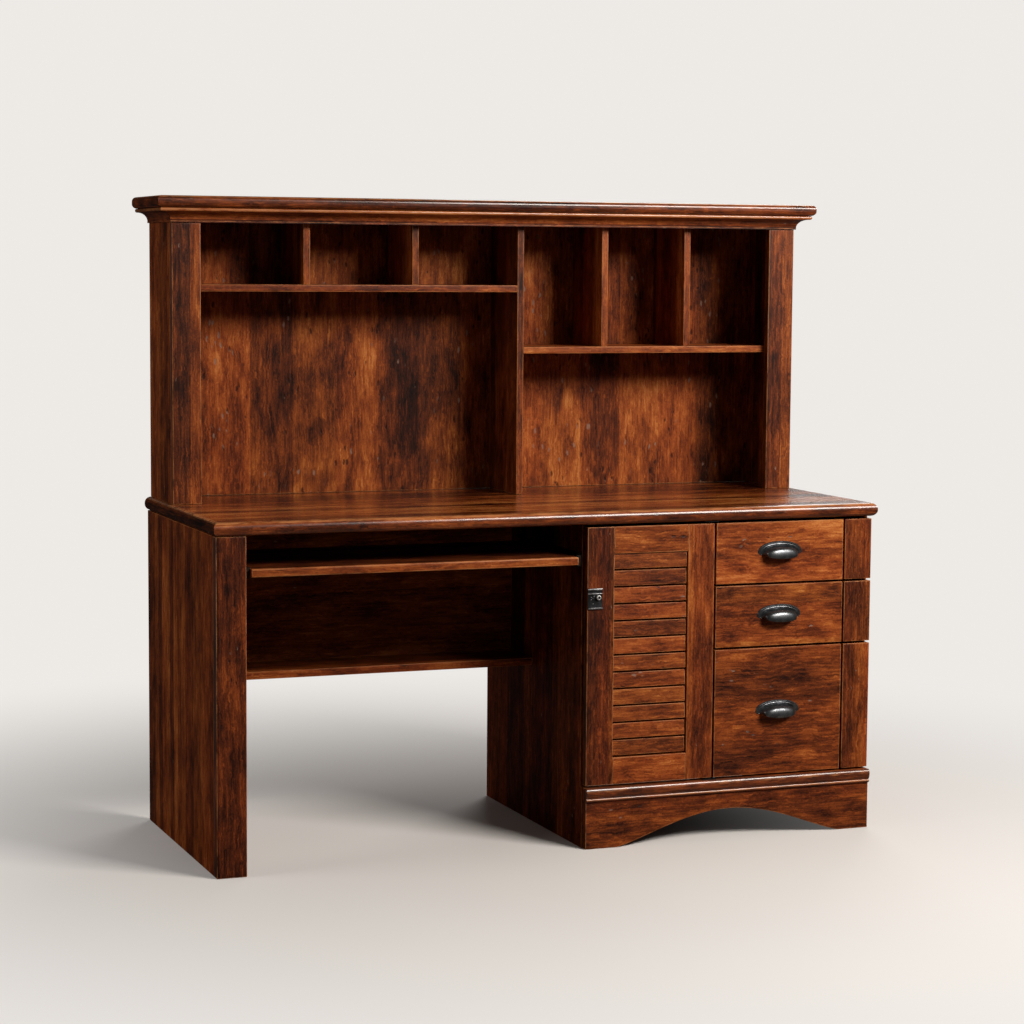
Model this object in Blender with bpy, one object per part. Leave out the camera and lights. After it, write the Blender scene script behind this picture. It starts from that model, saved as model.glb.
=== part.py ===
"""Computer desk with a pull-out keyboard tray, a drawer pedestal and a shelved hutch.

Frame: metres, +Z up, +Y towards the back, +X to the right as seen from the front. The origin is on
the floor, under the centre of the whole desk. Depths are given behind the desk top's front edge.
"""
import math

import bmesh
import bpy
from mathutils import Matrix, Vector

# Gaps
FIT = 0.0003                # between pieces that are fastened face to face
CUT_PAST = 0.002            # how far a cutter reaches beyond the surface that it opens

# Desk top and the frame of depths
TOP_WIDTH = 1.580
TOP_DEPTH = 0.640
TOP_HEIGHT = 0.765
TOP_THICK = 0.031
TOP_NOSE = 0.0125           # rounding of the desk top's front and side edges
FRONT_BACKSET = 0.015       # door and drawer faces, behind the desk top's front edge
FRONT_THICK = 0.019
PULL_REACH = 0.028          # how far a drawer pull stands out
TOP_FRONT_Y = -(TOP_DEPTH + PULL_REACH - FRONT_BACKSET) / 2 + PULL_REACH - FRONT_BACKSET
TOP_UNDER = TOP_HEIGHT - TOP_THICK

# Desk ends and pedestal
END_INSET = 0.0067          # end panels, in from the desk top's ends
END_X = TOP_WIDTH / 2 - END_INSET
PANEL = 0.018
STILE_WIDTH = 0.0664
LEG_BACKSET = 0.0105
LEG_THICK = 0.025
CASE_BACKSET = 0.0375       # pedestal panels' front edges, above the plinth
CASE_BACK = 0.638
BACK_SKIN_FRONT = 0.6276
BACK_SKIN = 0.006
PEDESTAL_X = 0.064
PARTITION_X = 0.3736
FLOOR_PANEL_Z = 0.139
FLOOR_PANEL_THICK = 0.016

# Plinth
PLINTH_X = (0.067, END_X)
PLINTH_TOP = 0.1392
APRON_BACKSET = 0.010
APRON_THICK = 0.018
FOOT_WIDTH = 0.076
ARCH_RISE = 0.070
ARCH_STEPS = 28
ARCH_CURL = 1.25            # how softly the arch leaves the feet
BEAD_HEIGHT = 0.023
BEAD_REACH = 0.0065
SMALL_BEAD_HEIGHT = 0.009
SMALL_BEAD_REACH = 0.0045
MOULDING_BACK = 0.0012      # flat wood behind the beads

# Kneehole
MODESTY_BACKSET = 0.474
MODESTY_THICK = 0.016
LEDGE_TOP = 0.3895
LEDGE_THICK = 0.0175
LEDGE_BACKSET = 0.3335

# Keyboard tray and its slides
TRAY_X = (-0.7029, 0.0500)
TRAY_Z = (0.6433, 0.6616)
TRAY_BACKSET = 0.0219
TRAY_DEPTH = 0.368
RAIL_SHEET = 0.002
RAIL_HALF_HEIGHT = 0.016
RAIL_REACH = 0.007
RAIL_OFF_TRAY = 0.0137      # left rail's web, beyond the tray's end
RUNG_FRONT = 0.006          # the rungs' front ends, before the rails'
RUNG_SHORT = 0.050          # the rungs' rear ends, before the rails'
RAIL_Y = (0.040, 0.440)
RUNG_HALF_HEIGHT = 0.012
RUNG_THICK = 0.0106
HANGER_FLANGE = 0.0204

# Louvred door
DOOR_X = (0.0673, 0.3811)
DOOR_Z = (0.1424, 0.7290)
DOOR_STILE = 0.066
DOOR_RAIL = 0.062
SLAT_COUNT = 12
SLAT_PROUD = 0.0025         # slats' lower edges, behind the door's face
SLAT_DEEP = 0.0100          # slats' upper edges, behind the door's face
PANEL_BACK = 0.017
SLAT_SLIT = 0.0022
SLAT_LAST = 0.004           # the panel's foot, behind the slats' lower edges
PIVOT_PLATE = 0.0016
PIVOT_PLATE_HALF = 0.017
PIVOT_ROOT = 0.001          # how deep a pin is rooted in its plate
PIVOT_IN = (0.008, 0.006)   # pivot axis, in from the door's right edge and its face
PIN_RADIUS = 0.003
PIN_HOLE = 0.0035
PIN_HOLE_DEPTH = 0.016
PIN_IN_DOOR = 0.012
PIVOT_X = DOOR_X[1] - PIVOT_IN[0]
PIVOT_BACKSET = FRONT_BACKSET + PIVOT_IN[1]

# Door latch
LATCH_INSET = 0.0008
LATCH_WIDTH = 0.036
LATCH_Z = (0.544, 0.591)
LATCH_PLATE = 0.0025
LATCH_LIP = 0.0055
LATCH_LIP_HEIGHT = 0.005
KNOB_X = 0.0935
KNOB_Z = 0.5705
KNOB_RADIUS = 0.0055
KNOB_STAND = 0.006          # the knob's face, before the plate
KNOB_LENGTH = 0.0055
SPINDLE_RADIUS = 0.0025
SPINDLE_HOLE = 0.0032
CAM_LENGTH = 0.0235
CAM_WIDTH = 0.011
CAM_BACKSET = 0.0392
CAM_THICK = 0.0024
CAM_CLEAR = 0.0008

# Drawers, from the top down
DRAWER_X = (0.3841, END_X)
DRAWER_Z = ((0.5869, 0.7290), (0.4409, 0.5839), (0.1424, 0.4379))
DRAWER_NAMES = ("upper", "middle", "lower")
GROOVE_X = (0.7088, 0.7128)
REBATE_THICK = 0.008
BOX_RISE = 0.020
BOX_DROP = 0.030
BOX_DEPTH = 0.540
BOX_WALL = 0.012
BOX_FLOOR = 0.009
BOX_SIDE_GAP = 0.0134
RUNNER_SHEET = 0.003
RUNNER_LEDGE = 0.023
RUNNER_HEIGHT = 0.028
RUNNER_Y = (0.045, 0.545)
RUNNER_CLEAR = 0.0005

# Cup pulls
PULL_HALF = 0.054
PULL_RISE = 0.0287
PULL_DROP = 0.014
CUP_HALF = 0.044
CUP_RISE = 0.024
CUP_WALL = 0.0025
FLANGE_THICK = 0.003
PULL_LIFT = 0.004
CUP_TURN_STEPS = 18
CUP_RISE_STEPS = 7
RIM_STEPS = 16

# Hutch
HUTCH_X = 0.7752
HUTCH_BACKSET = TOP_DEPTH - 0.2197
HUTCH_SIDE = 0.016
HUTCH_STILE = 0.066
HUTCH_STILE_THICK = 0.020
HUTCH_BASE = TOP_HEIGHT + FIT
SHELF_THICK = 0.016
SHELF_BACKSET = HUTCH_BACKSET + 0.024
SHELF_BACK = 0.6273
CENTRE_X = 0.062
LEFT_SHELF_TOP = 1.260
RIGHT_SHELF_TOP = 1.115
CUBBIES_PER_SIDE = 3

# Crown
CROWN_BASE = 1.3983
CROWN_SLAB_UNDER = 1.4313
HEIGHT = 1.4573
CROWN_SIDE_REACH = 0.0401
CROWN_FRONT_REACH = 0.0411
CROWN_NOSE = 0.012
COVE_STEPS = 7
CROWN_FILLET = 0.004
CROWN_BEAD = 0.009
MOULDING_REACH = 0.033


def finish(name, colour, roughness, metallic=0.0):
    """A plain Principled material."""
    material = bpy.data.materials.new(name)
    material.use_nodes = True
    shader = material.node_tree.nodes["Principled BSDF"]
    shader.inputs["Base Color"].default_value = (*colour, 1.0)
    shader.inputs["Roughness"].default_value = roughness
    shader.inputs["Metallic"].default_value = metallic
    material.diffuse_color = (*colour, 1.0)
    return material


def behind(depth):
    """World Y of a point at this depth behind the desk top's front edge."""
    return TOP_FRONT_Y + depth


def make_object(name, mesh_data, origin, material):
    """Turn a bmesh in world coordinates into an object with its origin at the given point."""
    bmesh.ops.recalc_face_normals(mesh_data, faces=mesh_data.faces)
    bmesh.ops.translate(mesh_data, verts=mesh_data.verts, vec=-Vector(origin))
    mesh = bpy.data.meshes.new(name)
    mesh_data.to_mesh(mesh)
    mesh_data.free()
    obj = bpy.data.objects.new(name, mesh)
    obj.location = origin
    if material is not None:
        mesh.materials.append(material)
    bpy.context.collection.objects.link(obj)
    return obj


def extruded(name, outline, axis, span, material):
    """A closed outline swept along X (outline is depth, Z) or along Y (outline is X, Z)."""
    shape = bmesh.new()
    start = span[0] if axis == "X" else behind(span[0])
    end = span[1] if axis == "X" else behind(span[1])
    corners = []
    for first, height in outline:
        if axis == "X":
            corners.append(shape.verts.new((start, behind(first), height)))
        else:
            corners.append(shape.verts.new((first, start, height)))
    face = shape.faces.new(corners)
    grown = bmesh.ops.extrude_face_region(shape, geom=[face])["geom"]
    moved = [item for item in grown if isinstance(item, bmesh.types.BMVert)]
    travel = (end - start, 0, 0) if axis == "X" else (0, end - start, 0)
    bmesh.ops.translate(shape, verts=moved, vec=travel)
    middle = Vector((0, 0, 0))
    for vert in shape.verts:
        middle += vert.co / len(shape.verts)
    return make_object(name, shape, middle, material)


def board(name, x_span, depth_span, z_span, material):
    """A plain rectangular board."""
    outline = (
        (depth_span[0], z_span[0]),
        (depth_span[1], z_span[0]),
        (depth_span[1], z_span[1]),
        (depth_span[0], z_span[1]),
    )
    return extruded(name, outline, "X", x_span, material)


def rod(name, centre, axis, radius, length, material, sides=16):
    """A round bar that starts at a centre and runs along a world axis direction."""
    shape = bmesh.new()
    bmesh.ops.create_cone(
        shape, cap_ends=True, segments=sides, radius1=radius, radius2=radius, depth=length,
        matrix=Matrix.Translation((0, 0, length / 2)),
    )
    turn = Vector((0, 0, 1)).rotation_difference(Vector(axis)).to_matrix().to_4x4()
    bmesh.ops.transform(shape, matrix=Matrix.Translation(centre) @ turn, verts=shape.verts)
    return make_object(name, shape, centre, material)


def combine(target, tool, operation):
    """Join a tool solid to the target or cut it away, and keep only the target."""
    modifier = target.modifiers.new("combine", "BOOLEAN")
    modifier.operation = operation
    modifier.solver = "EXACT"
    modifier.object = tool
    evaluated = target.evaluated_get(bpy.context.evaluated_depsgraph_get())
    result = bpy.data.meshes.new_from_object(evaluated)
    target.modifiers.remove(modifier)
    old_mesh = target.data
    target.data = result
    result.name = old_mesh.name
    bpy.data.meshes.remove(old_mesh)
    bpy.data.objects.remove(tool)


def shade_round(obj):
    """Smooth shading on the round parts of an object."""
    obj.data.shade_smooth()
    obj.data.set_sharp_from_angle(angle=math.radians(35))


def empty(name, location):
    """A joint's place, which its moving pieces are parented to."""
    marker = bpy.data.objects.new(name, None)
    marker.empty_display_size = 0.05
    marker.location = location
    bpy.context.collection.objects.link(marker)
    return marker


def attach(children, parent):
    """Parent pieces to a joint's empty; their own locations stay in world coordinates."""
    for child in children:
        child.parent = parent
        child.matrix_parent_inverse = Matrix.Translation(-parent.location)


def nosed_slab(name, x_half, depth_span, z_span, nose, material):
    """A slab whose front and side edges are rounded; its back edge is square."""
    slab = board(name, (-x_half, x_half), depth_span, z_span, material)
    shape = bmesh.new()
    shape.from_mesh(slab.data)
    back = max(vert.co.y for vert in shape.verts)
    rounded = []
    for edge in shape.edges:
        ends = [vert.co for vert in edge.verts]
        level = abs(ends[0].z - ends[1].z) < 1e-6
        at_back = all(abs(end.y - back) < 1e-6 for end in ends)
        if level and not at_back:
            rounded.append(edge)
    bmesh.ops.bevel(shape, geom=rounded, offset=nose, segments=4, profile=0.5, affect="EDGES")
    shape.to_mesh(slab.data)
    shape.free()
    shade_round(slab)
    return slab


def arch_outline():
    """Front outline of the apron: two feet joined by a wide arch with curled ends."""
    left, right = PLINTH_X
    arch_left = left + FOOT_WIDTH
    arch_right = right - FOOT_WIDTH
    outline = [(left, PLINTH_TOP), (left, 0.0)]
    for step in range(ARCH_STEPS + 1):
        along = step / ARCH_STEPS
        rise = ARCH_RISE * max(math.sin(math.pi * along), 0.0) ** ARCH_CURL
        outline.append((arch_left + (arch_right - arch_left) * along, rise))
    outline += [(right, 0.0), (right, PLINTH_TOP)]
    return outline


def bead_points(top, height, reach, steps, face):
    """Points down the front of a rounded bead that stands out from a face."""
    points = []
    for step in range(steps + 1):
        angle = math.pi * step / steps
        points.append((face - reach * math.sin(angle), top - height * (1 - math.cos(angle)) / 2))
    return points


def make_desk_frame(wood, board_back):
    """The desk top, its ends, the pedestal case and the pieces under the kneehole."""
    nosed_slab(
        "desk_top", TOP_WIDTH / 2, (0, TOP_DEPTH), (TOP_UNDER, TOP_HEIGHT), TOP_NOSE, wood,
    )
    under = TOP_UNDER - FIT
    leg_inner = -END_X + STILE_WIDTH
    leg_back = LEG_BACKSET + LEG_THICK
    board("left_front_stile", (-END_X, leg_inner), (LEG_BACKSET, leg_back), (0, under), wood)
    board("left_end_panel", (-END_X, -END_X + PANEL), (leg_back + FIT, CASE_BACK), (0, under), wood)

    toe_front = APRON_BACKSET + APRON_THICK + FIT
    toe_top = PLINTH_TOP
    side_outline = (
        (toe_front, 0),
        (CASE_BACK, 0),
        (CASE_BACK, under),
        (CASE_BACKSET, under),
        (CASE_BACKSET, toe_top),
        (toe_front, toe_top),
    )
    left_side = extruded(
        "pedestal_left_panel", side_outline, "X", (PEDESTAL_X, PEDESTAL_X + PANEL), wood,
    )
    extruded("pedestal_right_panel", side_outline, "X", (END_X - PANEL, END_X), wood)
    strike = board(
        "strike_cutter",
        (KNOB_X - CAM_LENGTH - CAM_CLEAR, PEDESTAL_X + PANEL + CUT_PAST),
        (CAM_BACKSET - CAM_CLEAR, CAM_BACKSET + CAM_THICK + CAM_CLEAR),
        (KNOB_Z - CAM_LENGTH - CAM_CLEAR, KNOB_Z + CAM_WIDTH / 2 + CAM_CLEAR),
        None,
    )
    combine(left_side, strike, "DIFFERENCE")

    inside = (PEDESTAL_X + PANEL + FIT, END_X - PANEL - FIT)
    floor_top = FLOOR_PANEL_Z + FLOOR_PANEL_THICK
    case_inside = (CASE_BACKSET + FIT, BACK_SKIN_FRONT - FIT)
    board("pedestal_bottom", inside, case_inside, (FLOOR_PANEL_Z, floor_top), wood)
    board(
        "pedestal_partition", (PARTITION_X, PARTITION_X + PANEL),
        (CASE_BACKSET, BACK_SKIN_FRONT - FIT), (floor_top + FIT, under), wood,
    )
    board(
        "pedestal_back", inside, (BACK_SKIN_FRONT, BACK_SKIN_FRONT + BACK_SKIN),
        (FLOOR_PANEL_Z, under), board_back,
    )

    extruded("plinth_apron", arch_outline(), "Y", (APRON_BACKSET, APRON_BACKSET + APRON_THICK), wood)
    face = APRON_BACKSET - FIT
    bead_bottom = PLINTH_TOP - BEAD_HEIGHT
    ground = face - MOULDING_BACK
    moulding = bead_points(PLINTH_TOP, BEAD_HEIGHT, BEAD_REACH, 8, ground)
    moulding += bead_points(bead_bottom, SMALL_BEAD_HEIGHT, SMALL_BEAD_REACH, 6, ground)[1:]
    moulding += [(face, bead_bottom - SMALL_BEAD_HEIGHT), (face, PLINTH_TOP)]
    shade_round(extruded("plinth_moulding", moulding, "X", PLINTH_X, wood))

    knee = (-END_X + PANEL + FIT, PEDESTAL_X - FIT)
    modesty_back = MODESTY_BACKSET + MODESTY_THICK
    board("modesty_panel", knee, (MODESTY_BACKSET, modesty_back), (LEDGE_TOP + FIT, under), wood)
    board(
        "kneehole_ledge", knee, (LEDGE_BACKSET, modesty_back),
        (LEDGE_TOP - LEDGE_THICK, LEDGE_TOP), wood,
    )


def make_tray(wood, metal):
    """The keyboard tray, its two sliding rungs and the two fixed rails they run in."""
    middle = (TRAY_Z[0] + TRAY_Z[1]) / 2
    left, right = TRAY_X
    tray = board("keyboard_tray", TRAY_X, (TRAY_BACKSET, TRAY_BACKSET + TRAY_DEPTH), TRAY_Z, wood)
    rung_y = (RAIL_Y[0] - RUNG_FRONT, RAIL_Y[1] - RUNG_SHORT)
    rung_z = (middle - RUNG_HALF_HEIGHT, middle + RUNG_HALF_HEIGHT)
    left_rung = board(
        "tray_left_inner_rail", (left - FIT - RUNG_THICK, left - FIT), rung_y, rung_z, metal,
    )
    right_rung = board(
        "tray_right_inner_rail", (right + FIT, right + FIT + RUNG_THICK), rung_y, rung_z, metal,
    )

    top = middle + RAIL_HALF_HEIGHT
    bottom = middle - RAIL_HALF_HEIGHT
    web = left - RAIL_OFF_TRAY
    lip = web + RAIL_REACH
    hung = TOP_UNDER - FIT
    left_outline = (
        (web - HANGER_FLANGE + RAIL_SHEET, hung),
        (web + RAIL_SHEET, hung),
        (web + RAIL_SHEET, top),
        (lip, top),
        (lip, top - RAIL_SHEET),
        (web + RAIL_SHEET, top - RAIL_SHEET),
        (web + RAIL_SHEET, bottom + RAIL_SHEET),
        (lip, bottom + RAIL_SHEET),
        (lip, bottom),
        (web, bottom),
        (web, hung - RAIL_SHEET),
        (web - HANGER_FLANGE + RAIL_SHEET, hung - RAIL_SHEET),
    )
    extruded("tray_left_outer_rail", left_outline, "Y", RAIL_Y, metal)
    web = PEDESTAL_X - FIT
    lip = web - RAIL_REACH
    right_outline = (
        (web, top),
        (lip, top),
        (lip, top - RAIL_SHEET),
        (web - RAIL_SHEET, top - RAIL_SHEET),
        (web - RAIL_SHEET, bottom + RAIL_SHEET),
        (lip, bottom + RAIL_SHEET),
        (lip, bottom),
        (web, bottom),
    )
    extruded("tray_right_outer_rail", right_outline, "Y", RAIL_Y, metal)
    slide = empty("keyboard_tray_slide", (sum(TRAY_X) / 2, behind(TRAY_BACKSET), middle))
    attach((tray, left_rung, right_rung), slide)


def louvre_outline(low, high):
    """Side outline of the slatted panel: each slat leans, with its lower edge forward."""
    pitch = (high - low) / SLAT_COUNT
    proud = FRONT_BACKSET + SLAT_PROUD
    deep = FRONT_BACKSET + SLAT_DEEP
    back = FRONT_BACKSET + PANEL_BACK
    outline = [(back, low), (back, high)]
    for index in range(SLAT_COUNT):
        slat_top = high - index * pitch
        outline.append((deep, slat_top))
        outline.append((proud, slat_top - pitch + SLAT_SLIT))
        outline.append((deep, slat_top - pitch + SLAT_SLIT))
    outline[-1] = (proud + SLAT_LAST, low + SLAT_SLIT)
    outline.append((proud + SLAT_LAST, low))
    return outline


def make_latch(black, bright):
    """The latch plate on the door's free stile, and the knob whose cam turns behind the door."""
    face = FRONT_BACKSET - FIT
    plate_x = (DOOR_X[0] + LATCH_INSET, DOOR_X[0] + LATCH_INSET + LATCH_WIDTH)
    low, high = LATCH_Z
    plate_front = face - LATCH_PLATE
    lip_front = face - LATCH_LIP
    outline = (
        (face, low),
        (face, high),
        (lip_front, high),
        (lip_front, high - LATCH_LIP_HEIGHT),
        (plate_front, high - LATCH_LIP_HEIGHT),
        (plate_front, low + LATCH_LIP_HEIGHT * 0.6),
        (lip_front + 0.001, low + LATCH_LIP_HEIGHT * 0.6),
        (lip_front + 0.001, low),
    )
    plate = extruded("latch_plate", outline, "X", plate_x, black)
    hole = rod("hole", (KNOB_X, behind(0), KNOB_Z), (0, 1, 0), SPINDLE_HOLE, 0.03, None)
    combine(plate, hole, "DIFFERENCE")

    knob_front = plate_front - KNOB_STAND
    centre = (KNOB_X, behind(knob_front), KNOB_Z)
    knob = rod("latch_knob", centre, (0, 1, 0), KNOB_RADIUS, KNOB_LENGTH, bright, 24)
    spindle_start = knob_front + KNOB_LENGTH / 3
    spindle = rod(
        "spindle", (KNOB_X, behind(spindle_start), KNOB_Z), (0, 1, 0), SPINDLE_RADIUS,
        CAM_BACKSET + CAM_THICK / 2 - spindle_start, None,
    )
    combine(knob, spindle, "UNION")
    cam = board(
        "cam", (KNOB_X - CAM_WIDTH / 2, KNOB_X + CAM_WIDTH / 2),
        (CAM_BACKSET, CAM_BACKSET + CAM_THICK),
        (KNOB_Z - CAM_LENGTH, KNOB_Z + CAM_WIDTH / 2), None,
    )
    combine(knob, cam, "UNION")
    shade_round(knob)
    return plate, knob


def make_door(wood, black, bright):
    """The louvred door, hung on an upper and a lower pivot pin, and its latch."""
    left, right = DOOR_X
    low, high = DOOR_Z
    thick = (FRONT_BACKSET, FRONT_BACKSET + FRONT_THICK)
    left_stile = board("door_left_stile", (left, left + DOOR_STILE), thick, DOOR_Z, wood)
    right_stile = board("door_right_stile", (right - DOOR_STILE, right), thick, DOOR_Z, wood)
    between = (left + DOOR_STILE + FIT, right - DOOR_STILE - FIT)
    top_rail = board("door_top_rail", between, thick, (high - DOOR_RAIL, high), wood)
    bottom_rail = board("door_bottom_rail", between, thick, (low, low + DOOR_RAIL), wood)
    outline = louvre_outline(low + DOOR_RAIL + FIT, high - DOOR_RAIL - FIT)
    slats = extruded("door_louvre_panel", outline, "X", between, wood)

    bore = rod("bore", (KNOB_X, behind(0), KNOB_Z), (0, 1, 0), SPINDLE_HOLE, 0.05, None)
    combine(left_stile, bore, "DIFFERENCE")
    for end, direction in ((high, -1), (low, 1)):
        start = (PIVOT_X, behind(PIVOT_BACKSET), end - direction * CUT_PAST)
        hole = rod("pin_hole", start, (0, 0, direction), PIN_HOLE, PIN_HOLE_DEPTH + CUT_PAST, None)
        combine(right_stile, hole, "DIFFERENCE")

    plate_x = (PIVOT_X - PIVOT_PLATE_HALF, PIVOT_X + PIVOT_PLATE_HALF)
    plate_depth = (APRON_BACKSET + 2 * FIT, CASE_BACKSET - FIT)
    upper_z = (TOP_UNDER - FIT - PIVOT_PLATE, TOP_UNDER - FIT)
    lower_z = (PLINTH_TOP + FIT, PLINTH_TOP + FIT + PIVOT_PLATE)
    pins = (
        ("door_upper_pivot", upper_z, upper_z[0] + PIVOT_ROOT, -1, high),
        ("door_lower_pivot", lower_z, lower_z[1] - PIVOT_ROOT, 1, low),
    )
    for name, z_span, root, direction, door_end in pins:
        plate = board(name, plate_x, plate_depth, z_span, black)
        reach = abs(root - door_end) + PIN_IN_DOOR
        foot = (PIVOT_X, behind(PIVOT_BACKSET), root)
        pin = rod("pin", foot, (0, 0, direction), PIN_RADIUS, reach, None)
        combine(plate, pin, "UNION")

    latch_plate, knob = make_latch(black, bright)
    hinge = empty("door_hinge", (PIVOT_X, behind(PIVOT_BACKSET), (low + high) / 2))
    turn = empty("latch_turn", (KNOB_X, behind(FRONT_BACKSET), KNOB_Z))
    attach((left_stile, right_stile, top_rail, bottom_rail, slats, latch_plate, turn), hinge)
    attach((knob,), turn)


def cup_solid(name, half, rise, reach, lower_turn, upper_turn, spine, material):
    """A wedge of an ellipsoid between two turns about its X axis, closed along a spine line."""
    shape = bmesh.new()
    columns = []
    for step in range(1, CUP_TURN_STEPS):
        around = math.pi * step / CUP_TURN_STEPS
        girth = math.sin(around)
        column = [shape.verts.new((half * math.cos(around), spine[0], spine[1]))]
        for row in range(CUP_RISE_STEPS + 1):
            turn = lower_turn + (upper_turn - lower_turn) * row / CUP_RISE_STEPS
            y = -reach * girth * math.cos(turn)
            z = rise * girth * math.sin(turn)
            column.append(shape.verts.new((half * math.cos(around), y, z)))
        columns.append(column)
    for first, second in zip(columns, columns[1:]):
        for row in range(len(first)):
            after = (row + 1) % len(first)
            shape.faces.new((first[row], first[after], second[after], second[row]))
    for column, side in ((columns[0], half), (columns[-1], -half)):
        tip = shape.verts.new((side, 0, 0))
        for row in range(len(column)):
            after = (row + 1) % len(column)
            shape.faces.new((column[row], column[after], tip))
    return make_object(name, shape, (0, 0, 0), material)


def make_pull(name, x, z, material):
    """A cup pull: an arched flange with pointed ends, and a shell that is open underneath."""
    lower = -math.asin(PULL_DROP / CUP_RISE)
    upper = math.pi / 2
    shell = cup_solid(name, CUP_HALF, CUP_RISE, PULL_REACH - FIT, lower, upper, (0, 0), material)

    flange = bmesh.new()
    arc = (PULL_HALF ** 2 + PULL_RISE ** 2) / (2 * PULL_RISE)
    spread = math.asin(PULL_HALF / arc)
    rim = []
    for step in range(RIM_STEPS + 1):
        angle = spread * (2 * step / RIM_STEPS - 1)
        height = max(arc * math.cos(angle) - (arc - PULL_RISE), 0.0)
        rim.append(flange.verts.new((arc * math.sin(angle), 0, height)))
    face = flange.faces.new(rim)
    grown = bmesh.ops.extrude_face_region(flange, geom=[face])["geom"]
    moved = [item for item in grown if isinstance(item, bmesh.types.BMVert)]
    bmesh.ops.translate(flange, verts=moved, vec=(0, -FLANGE_THICK, 0))
    combine(shell, make_object("flange", flange, (0, 0, 0), None), "UNION")

    hollow = cup_solid(
        "hollow", CUP_HALF - CUP_WALL, CUP_RISE - CUP_WALL, PULL_REACH - FIT - CUP_WALL,
        lower - 0.25, upper + 0.15, (0.004, -0.004), None,
    )
    combine(shell, hollow, "DIFFERENCE")
    shade_round(shell)
    shell.location = (x, behind(FRONT_BACKSET - FIT), z)
    return shell


def make_drawer(label, z_span, wood, pale, metal, pewter):
    """One drawer: face board with a rebated end, end stile, open box, pull and two runners."""
    low, high = z_span
    face_back = FRONT_BACKSET + FRONT_THICK
    rebate = face_back - REBATE_THICK
    left, right = DRAWER_X
    face_outline = (
        (left, FRONT_BACKSET),
        (GROOVE_X[0], FRONT_BACKSET),
        (GROOVE_X[0], rebate),
        (right, rebate),
        (right, face_back),
        (left, face_back),
    )
    shape = bmesh.new()
    corners = [shape.verts.new((x, behind(depth), low)) for x, depth in face_outline]
    face = shape.faces.new(corners)
    grown = bmesh.ops.extrude_face_region(shape, geom=[face])["geom"]
    moved = [item for item in grown if isinstance(item, bmesh.types.BMVert)]
    bmesh.ops.translate(shape, verts=moved, vec=(0, 0, high - low))
    centre = ((left + right) / 2, behind(FRONT_BACKSET), (low + high) / 2)
    front = make_object(f"{label}_drawer_front", shape, centre, wood)
    end_stile = board(
        f"{label}_drawer_end_stile", (GROOVE_X[1], right), (FRONT_BACKSET, rebate - FIT), z_span, wood,
    )

    wall_left = PARTITION_X + PANEL + FIT
    wall_right = END_X - PANEL - FIT
    box_x = (wall_left + BOX_SIDE_GAP, wall_right - BOX_SIDE_GAP)
    box_low = low + BOX_RISE
    box_high = high - BOX_DROP
    box_depth = (face_back + FIT, face_back + FIT + BOX_DEPTH)
    box = board(f"{label}_drawer_box", box_x, box_depth, (box_low, box_high), pale)
    inside = board(
        "inside", (box_x[0] + BOX_WALL, box_x[1] - BOX_WALL),
        (box_depth[0] + BOX_WALL, box_depth[1] - BOX_WALL), (box_low + BOX_FLOOR, box_high + 0.01), None,
    )
    combine(box, inside, "DIFFERENCE")
    pull = make_pull(
        f"{label}_drawer_pull", (left + GROOVE_X[0]) / 2,
        (low + high) / 2 + PULL_LIFT - (PULL_RISE - PULL_DROP) / 2, pewter,
    )

    ledge_top = box_low - RUNNER_CLEAR
    ledge_low = ledge_top - RUNNER_SHEET
    for side, wall, inward in (("left", wall_left, 1), ("right", wall_right, -1)):
        outline = (
            (wall, ledge_low),
            (wall + inward * RUNNER_LEDGE, ledge_low),
            (wall + inward * RUNNER_LEDGE, ledge_top),
            (wall + inward * RUNNER_SHEET, ledge_top),
            (wall + inward * RUNNER_SHEET, ledge_low + RUNNER_HEIGHT),
            (wall, ledge_low + RUNNER_HEIGHT),
        )
        extruded(f"{label}_drawer_{side}_runner", outline, "Y", RUNNER_Y, metal)
    slide = empty(f"{label}_drawer_slide", centre)
    attach((front, end_stile, box, pull), slide)


def moulding_outline():
    """Crown profile as (reach, height): foot fillet, cove, then the bead under the slab."""
    bead_low = CROWN_SLAB_UNDER - FIT - CROWN_BEAD
    cove_low = CROWN_BASE + CROWN_FILLET
    cove_reach = MOULDING_REACH - 0.006
    outline = [(CROWN_FILLET, CROWN_BASE), (CROWN_FILLET, cove_low)]
    for step in range(1, COVE_STEPS + 1):
        angle = math.pi / 2 * step / COVE_STEPS
        reach = CROWN_FILLET + (cove_reach - CROWN_FILLET) * (1 - math.cos(angle))
        outline.append((reach, cove_low + (bead_low - cove_low) * math.sin(angle)))
    for step in range(6):
        angle = -math.pi / 2 + math.pi * step / 5
        reach = MOULDING_REACH - CROWN_BEAD / 2 * (1 - math.cos(angle))
        outline.append((reach, bead_low + CROWN_BEAD / 2 * (1 + math.sin(angle))))
    return outline


def crown_return(name, side, outline, wood):
    """A crown moulding along one side of the hutch, mitred at its front end."""
    shape = bmesh.new()
    loop = [(FIT, CROWN_BASE)] + outline + [(FIT, CROWN_SLAB_UNDER - FIT)]
    front_ring = []
    back_ring = []
    for reach, height in loop:
        x = side * (HUTCH_X + reach)
        front_ring.append(shape.verts.new((x, behind(HUTCH_BACKSET - reach + FIT), height)))
        back_ring.append(shape.verts.new((x, behind(TOP_DEPTH), height)))
    shape.faces.new(front_ring)
    shape.faces.new(back_ring)
    for index in range(len(loop)):
        after = (index + 1) % len(loop)
        shape.faces.new((front_ring[index], front_ring[after], back_ring[after], back_ring[index]))
    centre = (side * HUTCH_X, behind((HUTCH_BACKSET + TOP_DEPTH) / 2), CROWN_BASE)
    shade_round(make_object(name, shape, centre, wood))


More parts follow.
